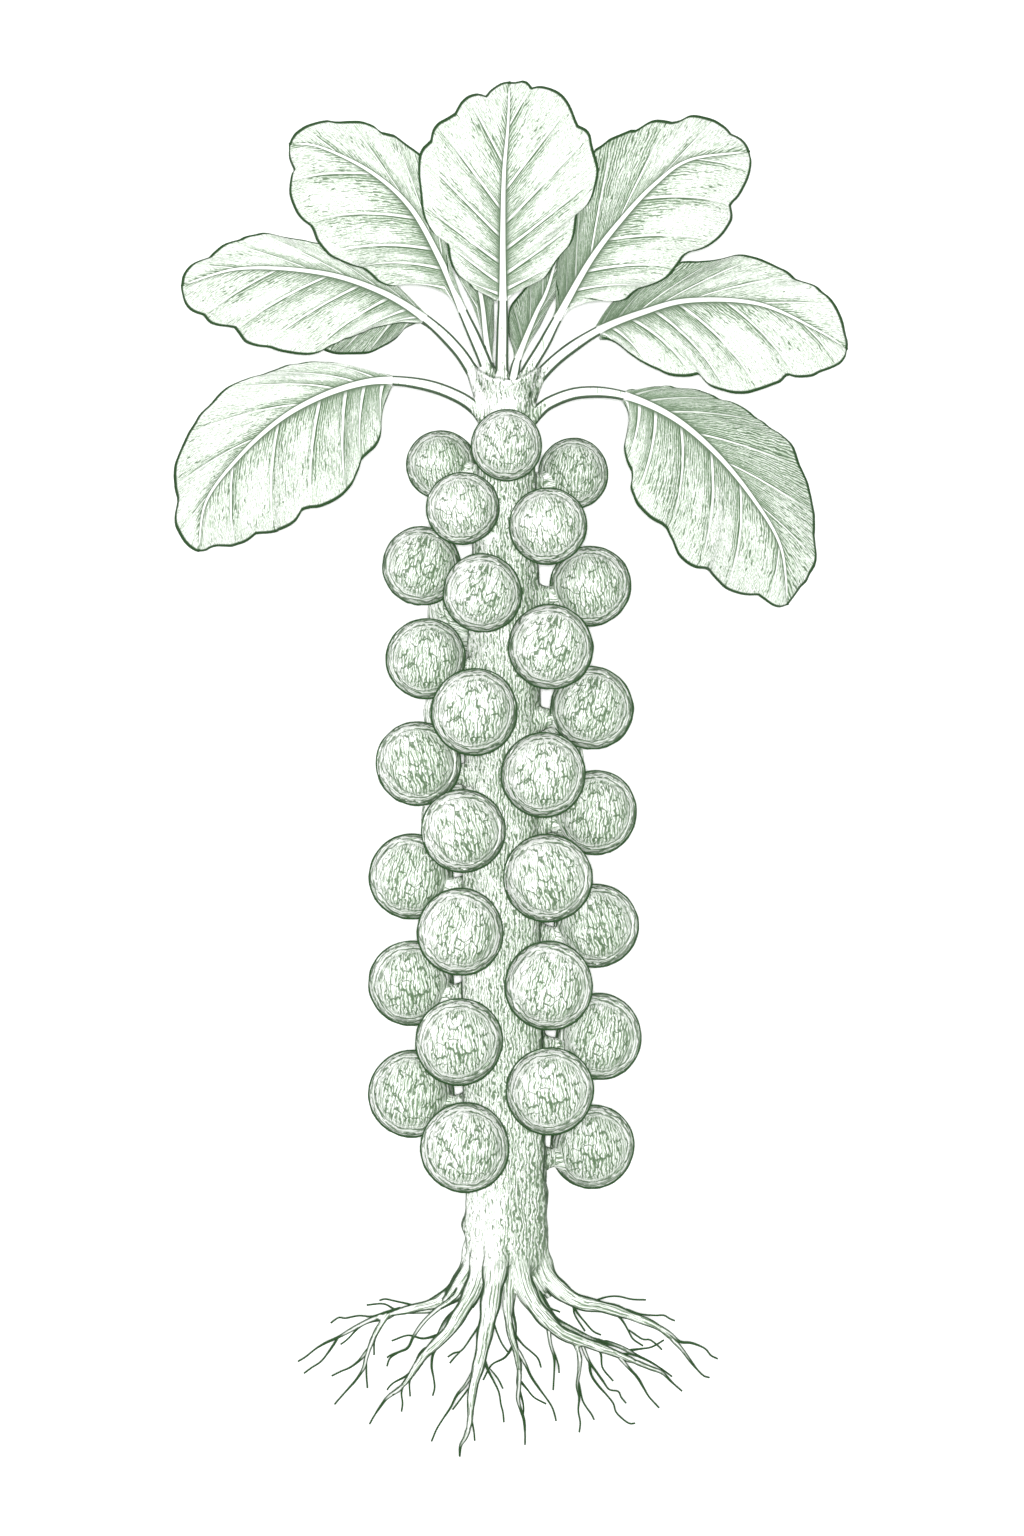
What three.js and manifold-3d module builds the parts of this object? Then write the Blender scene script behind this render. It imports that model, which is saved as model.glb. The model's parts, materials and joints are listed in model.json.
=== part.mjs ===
// A whole brussels sprout plant, pulled with its roots and laid on its back: one thick stem,
// sprouts up its sides in six upright ranks, a rosette of lobed leaves at the top and a fan of
// forked roots at the bottom. Millimetres, +Z up. The plant is drawn in its own frame, with x
// across, y up the stem from the soil line and z towards its front, and the group then sets it
// down on the floor with the middle of its outline at the origin.
import * as THREE from "three";
import { mergeVertices } from "three/addons/utils/BufferGeometryUtils.js";
import Module from "manifold-3d";

const wasm = await Module();
wasm.setup();

// ---- driving dimensions ----

// Where the plant frame's origin sits in the part: the floor is BED below the stem's axis.
const BED = 56;
const MIDDLE_ACROSS = 1.7;
const MIDDLE_ALONG = 235.7;

// Gap between pieces that touch.
const CLEARANCE = 0.4;

// Height above the soil line and radius of the stem there, from its foot to its growing tip.
const STEM_PROFILE = [
  [14, 19.6], [18, 18.6], [24, 18.9], [30, 18.1], [40, 17.8], [58, 18.2], [76, 18.6], [96, 18.7],
  [115, 18.8], [138, 18.6], [162, 18.3], [186, 18.0], [210, 17.5], [235, 17.2], [260, 16.7],
  [286, 16.2], [312, 15.4], [338, 14.4], [362, 13.2], [384, 11.4], [396, 10.8], [404, 11.8],
  [410, 12.6], [415, 10.6], [419, 5.5],
];
const STEM_TIP = 421;
const STEM_SIDES = 18;
const STEM_SWAY = 1.6;
const RIB_COUNT = 6;
const RIB_DEPTH = 0.45;
const KNOB_DEPTH = 0.9;

// Sprouts: height of the centre, azimuth from the front towards +x, and radius.
const SPROUT_RANKS = {
  top: [[379, 0, 16.1]],
  left: [
    [372, -117, 15.8], [326, -98, 18.0], [284, -62, 18.2], [237, -66, 19.2],
    [186, -104, 19.4], [138, -105, 19.4], [88, -106, 19.8],
  ],
  front_left: [
    [351, -33, 16.5], [313, -15, 17.8], [260, -18, 19.6],
    [207, -25, 18.9], [162, -26, 19.6], [113, -27, 19.7], [66, -24, 20.2],
  ],
  front_right: [
    [343, 31, 17.5], [289, 31, 19.2], [232, 26, 19.2],
    [186, 28, 20.0], [138, 28, 20.0], [91, 28, 19.8],
  ],
  right: [
    [368, 117, 16.1], [317, 95, 18.4], [262, 78, 18.9], [215, 94, 19.2],
    [164, 98, 19.2], [114, 98, 19.6], [64, 112, 19.2],
  ],
};
// The two ranks at the back stand halfway between the sprouts of the rank beside them.
const BACK_RANKS = {
  back_left: { beside: "left", from: 1, azimuth: -154, above: [[350, -176, 16.2]], below: 48 },
  back_right: { beside: "right", from: 1, azimuth: 154, above: [], below: null },
};
const NECK_LENGTH = 5;
const NECK_RADIUS = 6;
const NECK_DROP = 5;
const NECK_SEAT = 0.4;
const SPROUT_SIDES = 12;
const SPROUT_RINGS = 5;
const WRAPPER_LEAVES = 3;
const WRAPPER_STEP = 0.09;
const WRAPPER_TWIST = 0.9;
const SPROUT_TILT = 0.35;

// Leaves: stalk and midrib are points across, up and towards the front, the last point of the
// stalk being the first of the midrib. The half widths left and right of the midrib stand at
// tenths of a turn from stalk to tip, so that they crowd at both ends, where the outline is
// round. The face is the way that the upper side looks.
const LEAVES = {
  leaf_centre: {
    stalk: [[-1, 402, 7], [-1.8, 414, 12.5], [-1.6, 429, 20], [-1.4, 444, 26]],
    midrib: [[-1.4, 472, 32], [-0.9, 499.5, 33.5], [0.9, 522, 30], [1.8, 541.4, 22]],
    left: [8, 17, 24, 34, 37, 36.5, 30.5, 21.5, 10],
    right: [6, 17, 26, 33, 40.5, 41.5, 36, 27.5, 15],
    face: [0, 0.1, 1],
  },
  leaf_upper_left: {
    stalk: [[-5, 402, 1], [-8.6, 415, 5], [-13.5, 427, 7], [-19.4, 440, 9]],
    midrib: [[-29.7, 463.5, 10], [-43.2, 486.9, 9], [-61.2, 503.1, 5], [-83.7, 514.4, -1],
      [-97.6, 516.2, -7]],
    left: [2.5, 9, 22.5, 33, 39, 39.5, 36, 32, 20],
    right: [4, 9, 15, 18.5, 20.5, 20.5, 16.5, 12, 6],
    face: [-0.1, 0.1, 1],
  },
  leaf_upper_right: {
    stalk: [[5, 402, 1], [9.6, 413, 4], [17, 425.3, 6.5], [23, 436.5, 9]],
    midrib: [[37.8, 462.6, 11], [52.2, 481.5, 10], [67, 497.3, 7], [82.8, 508.5, 1],
      [109.8, 513, -9]],
    left: [5, 12, 19, 26, 30.5, 27.5, 20, 14, 7],
    right: [3, 11, 23, 32, 34.5, 38, 37.5, 31, 16],
    face: [0.1, 0.1, 1],
  },
  leaf_middle_left: {
    stalk: [[-6, 399, -1], [-13.4, 410.5, -2], [-22, 423.5, -5], [-36.4, 437.4, -10]],
    midrib: [[-56.7, 450, -14], [-83.7, 458.6, -17], [-119.7, 460.8, -21], [-146.2, 453.6, -28]],
    left: [3, 10, 21, 32.5, 38, 36.5, 30.5, 25, 15],
    right: [3, 6, 9, 12.5, 15.5, 16.5, 14.5, 10, 6],
    face: [0, 0.15, 1],
  },
  leaf_middle_right: {
    stalk: [[6, 399, -1], [13.2, 410, -2], [24.3, 421.5, -5], [41.4, 432, -10]],
    midrib: [[60.3, 440, -13], [82.8, 446, -15], [114.3, 444.6, -18], [141.3, 432.9, -24],
      [154.8, 424.8, -29]],
    left: [3, 7, 12, 17.5, 20.5, 19.5, 18, 12.5, 6],
    right: [6, 18, 28.5, 35, 41, 41, 32, 23, 13],
    face: [0, 0.15, 1],
  },
  leaf_lower_left: {
    stalk: [[-5, 387, -2], [-12.5, 395.5, 0], [-20.7, 401.3, 5], [-34.2, 406.3, 11],
      [-50.8, 408.6, 13]],
    midrib: [[-65.7, 407.3, 10], [-83.7, 401.4, 7], [-101.7, 391.5, 1], [-119.7, 375.8, -9],
      [-135.5, 355.5, -20], [-141.3, 333.9, -31]],
    left: [9, 26, 35, 43, 43.5, 38.5, 33, 26, 15],
    right: [3, 7, 13.5, 21, 26, 25.5, 20, 12, 6],
    face: [-0.1, 0.15, 1],
  },
  leaf_lower_right: {
    stalk: [[5, 386, -2], [12.8, 393.5, 0], [19.8, 399.2, 3], [34, 403.5, 8], [53.1, 401.9, 10]],
    midrib: [[74.7, 392.4, 8], [94, 376.7, 2], [111.6, 356, -8], [124.2, 334.8, -19],
      [128.7, 309.2, -31]],
    left: [4, 10, 17.5, 24, 28, 25, 18, 11, 5],
    right: [8, 25, 35, 41, 40, 39, 34.5, 29, 15],
    face: [0.1, 0.15, 1],
  },
  leaf_rear_left: {
    stalk: [[-4, 398, -5], [-11, 407, -11], [-25.2, 423, -19], [-38.7, 434.6, -26]],
    midrib: [[-56.7, 440.9, -31], [-79.2, 440.9, -36], [-97.2, 436.4, -42]],
    left: [7, 12, 15.5, 17, 17, 16, 14, 11, 7],
    right: [7, 12, 15, 16.5, 16.5, 15.5, 13, 10, 6],
    face: [0, 0, 1],
  },
  leaf_rear_right: {
    stalk: [[4, 398, -5], [11.5, 406.5, -11], [26.6, 422, -19], [42.3, 433.6, -26]],
    midrib: [[60.3, 443.5, -31], [78.3, 450.3, -36], [94, 453.4, -41]],
    left: [7, 12, 15.5, 17, 17, 16, 14, 11, 7],
    right: [6, 11, 14, 15, 15, 14, 12, 9, 6],
    face: [0, 0, 1],
  },
  leaf_inner_left: {
    stalk: [[-2, 404, -4], [-5, 419, -7], [-7.7, 432, -10], [-10.8, 445.5, -13]],
    midrib: [[-15.3, 465.8, -17], [-18.9, 479.3, -21], [-21.6, 490.5, -26]],
    left: [6, 9, 11, 12, 12.5, 12, 10.5, 8, 5],
    right: [6, 9, 11, 12, 12.5, 12, 10.5, 8, 5],
    face: [0, 0, 1],
  },
  leaf_inner_right: {
    stalk: [[2, 404, -4], [5, 419, -7], [8.1, 432, -10], [11.7, 445.5, -13]],
    midrib: [[17.6, 465.8, -17], [22.5, 483.8, -21], [25.2, 499.5, -27]],
    left: [6, 10, 12, 13.5, 14, 13.5, 12, 9, 6],
    right: [6, 10, 13, 14.5, 15, 14.5, 12.5, 9, 6],
    face: [0, 0, 1],
  },
};
const BLADE_THICKNESS = 1.0;
const BLADE_STATIONS = 12;
const STALK_STATIONS = 5;
const EDGE_WAVES = 4;
const EDGE_WAVE_HEIGHT = 2.4;
const EDGE_LOBE = 0.045;
const RIB_HALF_WIDTH = 2.9;
const RIB_HALF_HEIGHT = 2.5;
const RIB_AT_TIP = 0.3;

// Roots: points across, up and towards the front, from the crown of the root to the tip.
const ROOTS = [
  [[-12, 10, 0], [-25, 2, -3], [-44, -6, -8], [-60, -14, -12], [-73, -20, -16], [-94, -33, -22]],
  [[-12, 3, 8], [-33, -10, 13], [-42, -19, 15], [-52, -30, 13], [-63, -45, 9], [-77, -52, 4]],
  [[-9, 0, 10], [-20, -13, 17], [-31, -22, 21], [-41, -36, 22], [-50, -47, 20], [-61, -59, 15]],
  [[-6, 0, 12], [-10, -18, 22], [-10, -30, 28], [-16, -43, 31], [-23, -54, 32], [-33, -66, 30]],
  [[0, 0, 11], [2, -18, 14], [5, -29, 12], [7, -39, 8], [5, -50, 3], [9, -70, -4]],
  [[5, 2, 10], [12, -10, 18], [24, -20, 24], [34, -27, 26], [37, -43, 25], [33, -63, 21]],
  [[12, 9, 0], [26, 0, 3], [46, -9, 4], [67, -17, 2], [81, -28, -3], [92, -40, -9]],
  [[11, 3, 8], [31, -12, 11], [47, -21, 11], [60, -30, 9], [71, -39, 5], [79, -46, 0]],
  [[4, -2, 6], [11, -22, 3], [16, -34, -3], [20, -47, -9], [23, -59, -14]],
  [[-9, 6, -8], [-26, -4, -23], [-45, -13, -35], [-62, -25, -43], [-78, -33, -50]],
  [[-4, 0, -10], [-11, -18, -24], [-20, -37, -36], [-27, -50, -43], [-38, -62, -49]],
  [[4, 0, -10], [11, -16, -26], [15, -34, -38], [22, -52, -46], [24, -66, -51]],
  [[10, 6, -8], [27, -3, -22], [44, -15, -33], [60, -22, -42], [75, -36, -50]],
];
const ROOT_CROWN_PROFILE = [[13.7, 19.2], [6, 16.5], [-3, 12], [-11, 6.5]];
const ROOT_CROWN_END = -15;
const ROOT_RADIUS = 6.4;
const ROOT_TIP_RADIUS = 0.6;
const ROOT_TAPER = 2.3;
const ROOT_SIDES = 5;
const FORK_SIDES = 4;
const FORKS_ALONG = [0.34, 0.55, 0.76];
const FORK_REACH = 0.62;
const FORK_SPREAD = 0.75;

const COLOURS = {
  stem: 0xc6d2bf,
  sprout: 0xb4c6a6,
  leaf: 0xc2d1ba,
  root: 0xd9dfd0,
};

// ---- small helpers ----

// A repeatable value from 0 to 1 for the i-th draw of stream k.
function draw(i, k) {
  const value = (i + 1) * 0.618034 + (k + 1) * 0.414214;
  return value - Math.floor(value);
}

// Reads a list of [place, value] pairs as a smooth curve through them.
function profileAt(pairs, place) {
  const last = pairs.length - 1;
  if (place <= pairs[0][0]) return pairs[0][1];
  if (place >= pairs[last][0]) return pairs[last][1];
  const i = pairs.findIndex((pair) => pair[0] > place) - 1;
  const t = (place - pairs[i][0]) / (pairs[i + 1][0] - pairs[i][0]);
  return THREE.MathUtils.lerp(pairs[i][1], pairs[i + 1][1], t * t * (3 - 2 * t));
}

function radians(degrees) {
  return THREE.MathUtils.degToRad(degrees);
}

// The middle of the stem at a height: it sways slightly from side to side.
function stemMiddle(height) {
  return new THREE.Vector3(-STEM_SWAY * Math.sin(Math.PI * (height - 30) / 330), height, 0);
}

// A closed skin over rows of points, each row a ring with the same number of points, capped at
// both ends. Points that fall together are merged and the faces between them dropped.
function skin(rings) {
  const sides = rings[0].length;
  const vertices = rings.flat();
  const middles = [rings[0], rings[rings.length - 1]].map((ring) => {
    const middle = new THREE.Vector3();
    ring.forEach((point) => middle.addScaledVector(point, 1 / sides));
    return middle;
  });
  const faces = [];
  for (let row = 0; row < rings.length - 1; row += 1) {
    for (let side = 0; side < sides; side += 1) {
      const next = (side + 1) % sides;
      const a = row * sides + side;
      const b = row * sides + next;
      faces.push(a, b, b + sides, a, b + sides, a + sides);
    }
  }
  const first = vertices.length;
  const lastRow = (rings.length - 1) * sides;
  for (let side = 0; side < sides; side += 1) {
    const next = (side + 1) % sides;
    faces.push(first, next, side);
    faces.push(first + 1, lastRow + side, lastRow + next);
  }
  return weld([...vertices, ...middles], faces);
}

// Merges points that fall together and drops the faces that have lost their area.
function weld(vertices, faces) {
  const geometry = new THREE.BufferGeometry().setFromPoints(vertices);
  geometry.setIndex(faces);
  const merged = mergeVertices(geometry, 1e-3);
  const index = Array.from(merged.index.array);
  const kept = [];
  for (let i = 0; i < index.length; i += 3) {
    const [a, b, c] = index.slice(i, i + 3);
    if (a !== b && b !== c && c !== a) kept.push(a, b, c);
  }
  merged.setIndex(kept);
  return merged;
}

// A geometry as a solid for joining and cutting, and back.
function solid(geometry) {
  const plain = new THREE.BufferGeometry();
  plain.setAttribute("position", geometry.attributes.position.clone());
  plain.setIndex(geometry.index.clone());
  const merged = mergeVertices(plain, 1e-3);
  return new wasm.Manifold(new wasm.Mesh({
    numProp: 3,
    vertProperties: new Float32Array(merged.attributes.position.array),
    triVerts: new Uint32Array(merged.index.array),
  }));
}

function geometryOf(shape) {
  const mesh = shape.getMesh();
  const geometry = new THREE.BufferGeometry();
  geometry.setAttribute("position", new THREE.BufferAttribute(new Float32Array(mesh.vertProperties), 3));
  geometry.setIndex(Array.from(mesh.triVerts));
  return geometry;
}

// ---- stem ----

// Radius of the stem at a height and an angle round it: low upright ribs, and a knobbly foot.
function stemRadius(height, angle, grow) {
  const ribs = RIB_DEPTH * Math.cos(RIB_COUNT * angle + 0.01 * height);
  const foot = THREE.MathUtils.smoothstep(60 - height, 0, 45);
  const knobs = KNOB_DEPTH * foot * Math.sin(3 * angle + 0.5 * height) * Math.cos(2 * angle + 0.35 * height);
  const neck = THREE.MathUtils.smoothstep(STEM_TIP - height, 0, 30);
  return profileAt(STEM_PROFILE, height) + ribs * neck + knobs + grow;
}

// The stem's skin, grown outwards by the given amount.
function stemGeometry(grow) {
  const heights = STEM_PROFILE.map(([height]) => height);
  heights[0] -= grow;
  const rings = heights.map((height) => {
    const middle = stemMiddle(height);
    return Array.from({ length: STEM_SIDES }, (_, side) => {
      const angle = 2 * Math.PI * side / STEM_SIDES;
      const radius = stemRadius(height, angle, grow);
      return new THREE.Vector3(
        middle.x + radius * Math.sin(angle), height, radius * Math.cos(angle));
    });
  });
  const tip = stemMiddle(STEM_TIP + grow);
  rings.push(Array.from({ length: STEM_SIDES }, () => tip.clone()));
  return skin(rings);
}

const stemSpace = solid(stemGeometry(CLEARANCE));

// ---- sprouts ----

// How far a wrapped leaf stands out at a place on the ball: each leaf climbs from under the
// last one's edge to its own edge, and the edges lean as they run from tip to base.
function wrapperRise(turn, fall) {
  const place = turn * WRAPPER_LEAVES + WRAPPER_TWIST * fall;
  const within = place - Math.floor(place + 1e-9);
  return WRAPPER_STEP * (within - 0.75) * Math.sin(Math.PI * fall);
}

// A sprout: a ball of wrapped leaves on a short neck with its flat foot on the stem.
function sproutGeometry([height, azimuth, radius]) {
  const outward = new THREE.Vector3(Math.sin(radians(azimuth)), 0, Math.cos(radians(azimuth)));
  const reach = profileAt(STEM_PROFILE, height) + NECK_LENGTH + radius;
  const centre = stemMiddle(height).addScaledVector(outward, reach);
  const axis = outward.clone().add(new THREE.Vector3(0, SPROUT_TILT, 0)).normalize();
  const across = new THREE.Vector3().crossVectors(axis, new THREE.Vector3(0, 1, 0)).normalize();
  const ring = (middle, facing, size, rise) => {
    const along = new THREE.Vector3().crossVectors(facing, across);
    return Array.from({ length: SPROUT_SIDES }, (_, side) => {
      const turn = side / SPROUT_SIDES;
      const spread = size * (1 + rise(turn));
      return middle.clone()
        .addScaledVector(across, spread * Math.cos(2 * Math.PI * turn))
        .addScaledVector(along, spread * Math.sin(2 * Math.PI * turn));
    });
  };
  const seat = stemRadius(height - NECK_DROP, radians(azimuth), CLEARANCE) + NECK_SEAT;
  const foot = stemMiddle(height - NECK_DROP).addScaledVector(outward, seat);
  const rings = [ring(foot, outward, NECK_RADIUS, () => 0)];
  for (let row = 1; row <= SPROUT_RINGS; row += 1) {
    const fall = 1 - row / (SPROUT_RINGS + 1);
    const middle = centre.clone().addScaledVector(axis, radius * Math.cos(Math.PI * fall));
    rings.push(ring(middle, axis, radius * Math.sin(Math.PI * fall), (turn) => wrapperRise(turn, fall)));
  }
  const tip = centre.clone().addScaledVector(axis, radius);
  rings.push(Array.from({ length: SPROUT_SIDES }, () => tip.clone()));
  return skin(rings);
}

// The sprouts of a rank at the back: halfway between their neighbours, and any extra ones.
function backRank({ beside, from, azimuth, above, below }) {
  const row = SPROUT_RANKS[beside].slice(from);
  const between = row.slice(1).map(([height, , radius], i) => [
    (height + row[i][0]) / 2, azimuth, (radius + row[i][2]) / 2 - 0.2,
  ]);
  if (below !== null) {
    const [height, , radius] = row[row.length - 1];
    between.push([height - below / 2, azimuth, radius - 0.6]);
  }
  return [...above, ...between];
}

const floor = solid(new THREE.BoxGeometry(400, 900, 60).translate(0, 200, -BED - 30));

function sproutSolid(place) {
  return solid(sproutGeometry(place)).subtract(floor);
}

// ---- leaves ----

// Places along a curve at the given shares of its length between two of its points.
function placesAlong(curve, from, to, shares) {
  const steps = 160;
  const places = Array.from({ length: steps + 1 }, (_, i) => THREE.MathUtils.lerp(from, to, i / steps));
  const points = places.map((place) => curve.getPoint(place));
  const lengths = [0];
  for (let i = 1; i <= steps; i += 1) {
    lengths.push(lengths[i - 1] + points[i].distanceTo(points[i - 1]));
  }
  return shares.map((share) => {
    const target = share * lengths[steps];
    const i = Math.min(steps - 1, Math.max(0, lengths.findIndex((length) => length >= target) - 1));
    const t = (target - lengths[i]) / (lengths[i + 1] - lengths[i]);
    return THREE.MathUtils.lerp(places[i], places[i + 1], t);
  });
}

// Half width of a blade at a share of its half turn from stalk (0) to tip (1).
function halfWidth(widths, share) {
  const all = [0, ...widths, 0];
  const place = share * (all.length - 1);
  const i = Math.min(all.length - 2, Math.floor(place));
  const t = place - i;
  const [a, b, c, d] = [all[Math.max(0, i - 1)], all[i], all[i + 1], all[Math.min(all.length - 1, i + 2)]];
  return Math.max(0, 0.5 * (2 * b + (c - a) * t + (2 * a - 5 * b + 4 * c - d) * t * t
    + (3 * b - a - 3 * c + d) * t * t * t));
}

// One cross section of a leaf: the midrib's hexagon with a thin wing on either side, arched
// away from the midrib and waved along its edge.
function leafSection(middle, along, face, rib, wings, wave) {
  const left = new THREE.Vector3().crossVectors(face, along).normalize();
  const up = new THREE.Vector3().crossVectors(along, left).normalize();
  const at = (side, out, lift, height) => middle.clone()
    .addScaledVector(left, side * out)
    .addScaledVector(up, lift + height);
  const half = BLADE_THICKNESS / 2;
  const columns = [];
  for (const side of [1, -1]) {
    const wing = Math.max(0, wings[side === 1 ? 0 : 1] - rib.width);
    for (const share of side === 1 ? [1, 0.5, 0] : [0, 0.5, 1]) {
      const arch = wing * (0.24 * share - 0.28 * share * share);
      const ripple = side * wave * share * share * Math.min(1, wing / 12);
      columns.push({ side, out: rib.width + wing * share, lift: arch + ripple });
    }
  }
  const top = columns.map(({ side, out, lift }) => at(side, out, lift, half));
  const bottom = columns.map(({ side, out, lift }) => at(side, out, lift, -half)).reverse();
  top.splice(3, 0, at(1, 0, 0, rib.height));
  bottom.splice(3, 0, at(1, 0, 0, -rib.height));
  return [...top, ...bottom];
}

// A leaf: a fleshy stalk that runs on as the midrib of a thin lobed blade.
function leafGeometry({ stalk, midrib, left, right, face }) {
  const points = [...stalk, ...midrib].map((point) => new THREE.Vector3(...point));
  const curve = new THREE.CatmullRomCurve3(points, false, "catmullrom", 0.5);
  const join = (stalk.length - 1) / (points.length - 1);
  const facing = new THREE.Vector3(...face).normalize();
  const stalkShares = Array.from({ length: STALK_STATIONS }, (_, i) => i / STALK_STATIONS);
  const bladeTurns = Array.from({ length: BLADE_STATIONS + 1 }, (_, i) => i / BLADE_STATIONS);
  const bladeShares = bladeTurns.map((turn) => (1 - Math.cos(Math.PI * turn)) / 2);
  const rings = placesAlong(curve, 0, join, stalkShares).map((place, i) => {
    const broad = 1 + 0.35 * (1 - i / STALK_STATIONS);
    const rib = { width: RIB_HALF_WIDTH * broad, height: RIB_HALF_HEIGHT };
    return leafSection(curve.getPoint(place), curve.getTangent(place), facing, rib, [0, 0], 0);
  });
  placesAlong(curve, join, 1, bladeShares).forEach((place, i) => {
    const size = THREE.MathUtils.lerp(1, RIB_AT_TIP, bladeShares[i]);
    const rib = { width: RIB_HALF_WIDTH * size, height: RIB_HALF_HEIGHT * size };
    const swing = Math.sin(2 * Math.PI * EDGE_WAVES * bladeTurns[i]);
    const wave = EDGE_WAVE_HEIGHT * swing;
    const wings = [left, right].map((widths, side) => (
      halfWidth(widths, bladeTurns[i]) * (1 + EDGE_LOBE * swing * (side ? -1 : 1))));
    rings.push(leafSection(curve.getPoint(place), curve.getTangent(place), facing, rib, wings, wave));
  });
  return skin(rings);
}

function leafSolid(leaf) {
  return solid(leafGeometry(leaf)).subtract(stemSpace);
}

// ---- roots ----

// A tapered tube along points, with its thickness falling off fast at first.
function rootTube(points, sides, startRadius, endRadius, steps) {
  const curve = new THREE.CatmullRomCurve3(points, false, "catmullrom", 0.5);
  const rings = Array.from({ length: steps + 1 }, (_, step) => {
    const share = step / steps;
    const middle = curve.getPoint(share);
    const along = curve.getTangent(share);
    const across = new THREE.Vector3().crossVectors(along, new THREE.Vector3(0, 0, 1)).normalize();
    const up = new THREE.Vector3().crossVectors(across, along);
    const radius = THREE.MathUtils.lerp(startRadius, endRadius, 1 - (1 - share) ** ROOT_TAPER);
    return Array.from({ length: sides }, (__, side) => {
      const angle = 2 * Math.PI * side / sides;
      return middle.clone()
        .addScaledVector(across, radius * Math.cos(angle))
        .addScaledVector(up, radius * Math.sin(angle));
    });
  });
  return skin(rings.reverse());
}

// The side roots of one root: they leave in turn to either side and run on beside it.
function rootForks(curve, rootNumber) {
  return FORKS_ALONG.map((share, i) => {
    const start = curve.getPoint(share);
    const rest = curve.getPoint(1).sub(start);
    const lean = FORK_SPREAD * (i % 2 ? 1 : -1) * (0.75 + 0.5 * draw(i, rootNumber));
    const reach = FORK_REACH * (0.75 + 0.5 * draw(i + 5, rootNumber));
    const run = rest.applyAxisAngle(new THREE.Vector3(0, 0, 1), lean).multiplyScalar(reach);
    const middle = start.clone().addScaledVector(run, 0.5);
    middle.addScaledVector(curve.getTangent(share), 3);
    const end = start.clone().add(run);
    end.z = Math.max(end.z, 4 - BED);
    return rootTube([start, middle, end], FORK_SIDES, 1.9 - 1.1 * share, ROOT_TIP_RADIUS, 2);
  });
}

// The crown that the roots leave, a blunt cone under the stem.
function rootCrown() {
  const rings = ROOT_CROWN_PROFILE.map(([height, radius]) => {
    const middle = stemMiddle(height);
    return Array.from({ length: STEM_SIDES }, (_, side) => {
      const angle = 2 * Math.PI * side / STEM_SIDES;
      return new THREE.Vector3(
        middle.x + radius * Math.sin(angle), height, radius * Math.cos(angle));
    });
  });
  const tip = stemMiddle(ROOT_CROWN_END);
  rings.push(Array.from({ length: STEM_SIDES }, () => tip.clone()));
  return skin(rings.reverse());
}

function rootsSolid() {
  let roots = solid(rootCrown());
  ROOTS.forEach((route, number) => {
    const points = route.map((point) => new THREE.Vector3(...point));
    const curve = new THREE.CatmullRomCurve3(points, false, "catmullrom", 0.5);
    const steps = 2 * points.length - 4;
    roots = roots.add(solid(rootTube(points, ROOT_SIDES, ROOT_RADIUS, ROOT_TIP_RADIUS, steps)));
    for (const fork of rootForks(curve, number)) roots = roots.add(solid(fork));
  });
  return roots.subtract(stemSpace).subtract(floor);
}

// ---- assembly ----

const finishes = {};
for (const [name, colour] of Object.entries(COLOURS)) {
  finishes[name] = new THREE.MeshStandardMaterial({ color: colour, roughness: 0.6, metalness: 0 });
}

const plant = new THREE.Group();
plant.position.set(-MIDDLE_ACROSS, -MIDDLE_ALONG, BED);

function place(name, geometry, finish) {
  const mesh = new THREE.Mesh(geometry, finish.clone());
  mesh.name = name;
  plant.add(mesh);
}

place("stem", stemGeometry(0), finishes.stem);
place("roots", geometryOf(rootsSolid()), finishes.root);
for (const [name, leaf] of Object.entries(LEAVES)) {
  place(name, geometryOf(leafSolid(leaf)), finishes.leaf);
}
const ranks = { ...SPROUT_RANKS };
for (const [name, rank] of Object.entries(BACK_RANKS)) ranks[name] = backRank(rank);
for (const [name, rank] of Object.entries(ranks)) {
  rank.forEach((sprout, i) => {
    place(`sprout_${name}_${i + 1}`, geometryOf(sproutSolid(sprout)), finishes.sprout);
  });
}

export default plant;
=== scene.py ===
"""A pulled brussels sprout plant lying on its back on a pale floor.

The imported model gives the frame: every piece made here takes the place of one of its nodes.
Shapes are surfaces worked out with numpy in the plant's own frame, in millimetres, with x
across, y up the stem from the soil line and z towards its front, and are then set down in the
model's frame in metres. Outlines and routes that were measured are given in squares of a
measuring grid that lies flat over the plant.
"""
import json
import logging
import math
from dataclasses import dataclass, field
from enum import Enum

import bmesh
import bpy
import numpy as np
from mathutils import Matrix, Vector

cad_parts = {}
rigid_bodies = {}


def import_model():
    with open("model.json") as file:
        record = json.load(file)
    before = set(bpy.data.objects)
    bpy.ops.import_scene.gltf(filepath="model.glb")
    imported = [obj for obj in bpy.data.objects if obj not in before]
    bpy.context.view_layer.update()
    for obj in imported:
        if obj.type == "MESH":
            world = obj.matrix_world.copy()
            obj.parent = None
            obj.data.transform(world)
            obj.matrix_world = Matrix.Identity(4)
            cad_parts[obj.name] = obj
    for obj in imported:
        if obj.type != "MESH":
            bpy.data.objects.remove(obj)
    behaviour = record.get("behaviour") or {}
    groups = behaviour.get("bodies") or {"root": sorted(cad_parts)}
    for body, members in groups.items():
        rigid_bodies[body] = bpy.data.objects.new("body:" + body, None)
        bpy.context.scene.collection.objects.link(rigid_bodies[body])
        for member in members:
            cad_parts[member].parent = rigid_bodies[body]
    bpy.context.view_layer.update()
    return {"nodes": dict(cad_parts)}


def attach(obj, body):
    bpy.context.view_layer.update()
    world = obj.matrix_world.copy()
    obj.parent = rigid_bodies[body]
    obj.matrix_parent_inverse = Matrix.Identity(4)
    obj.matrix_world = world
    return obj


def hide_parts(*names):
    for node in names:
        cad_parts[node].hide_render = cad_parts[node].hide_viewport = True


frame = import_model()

log = logging.getLogger("sprout_plant")

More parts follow.
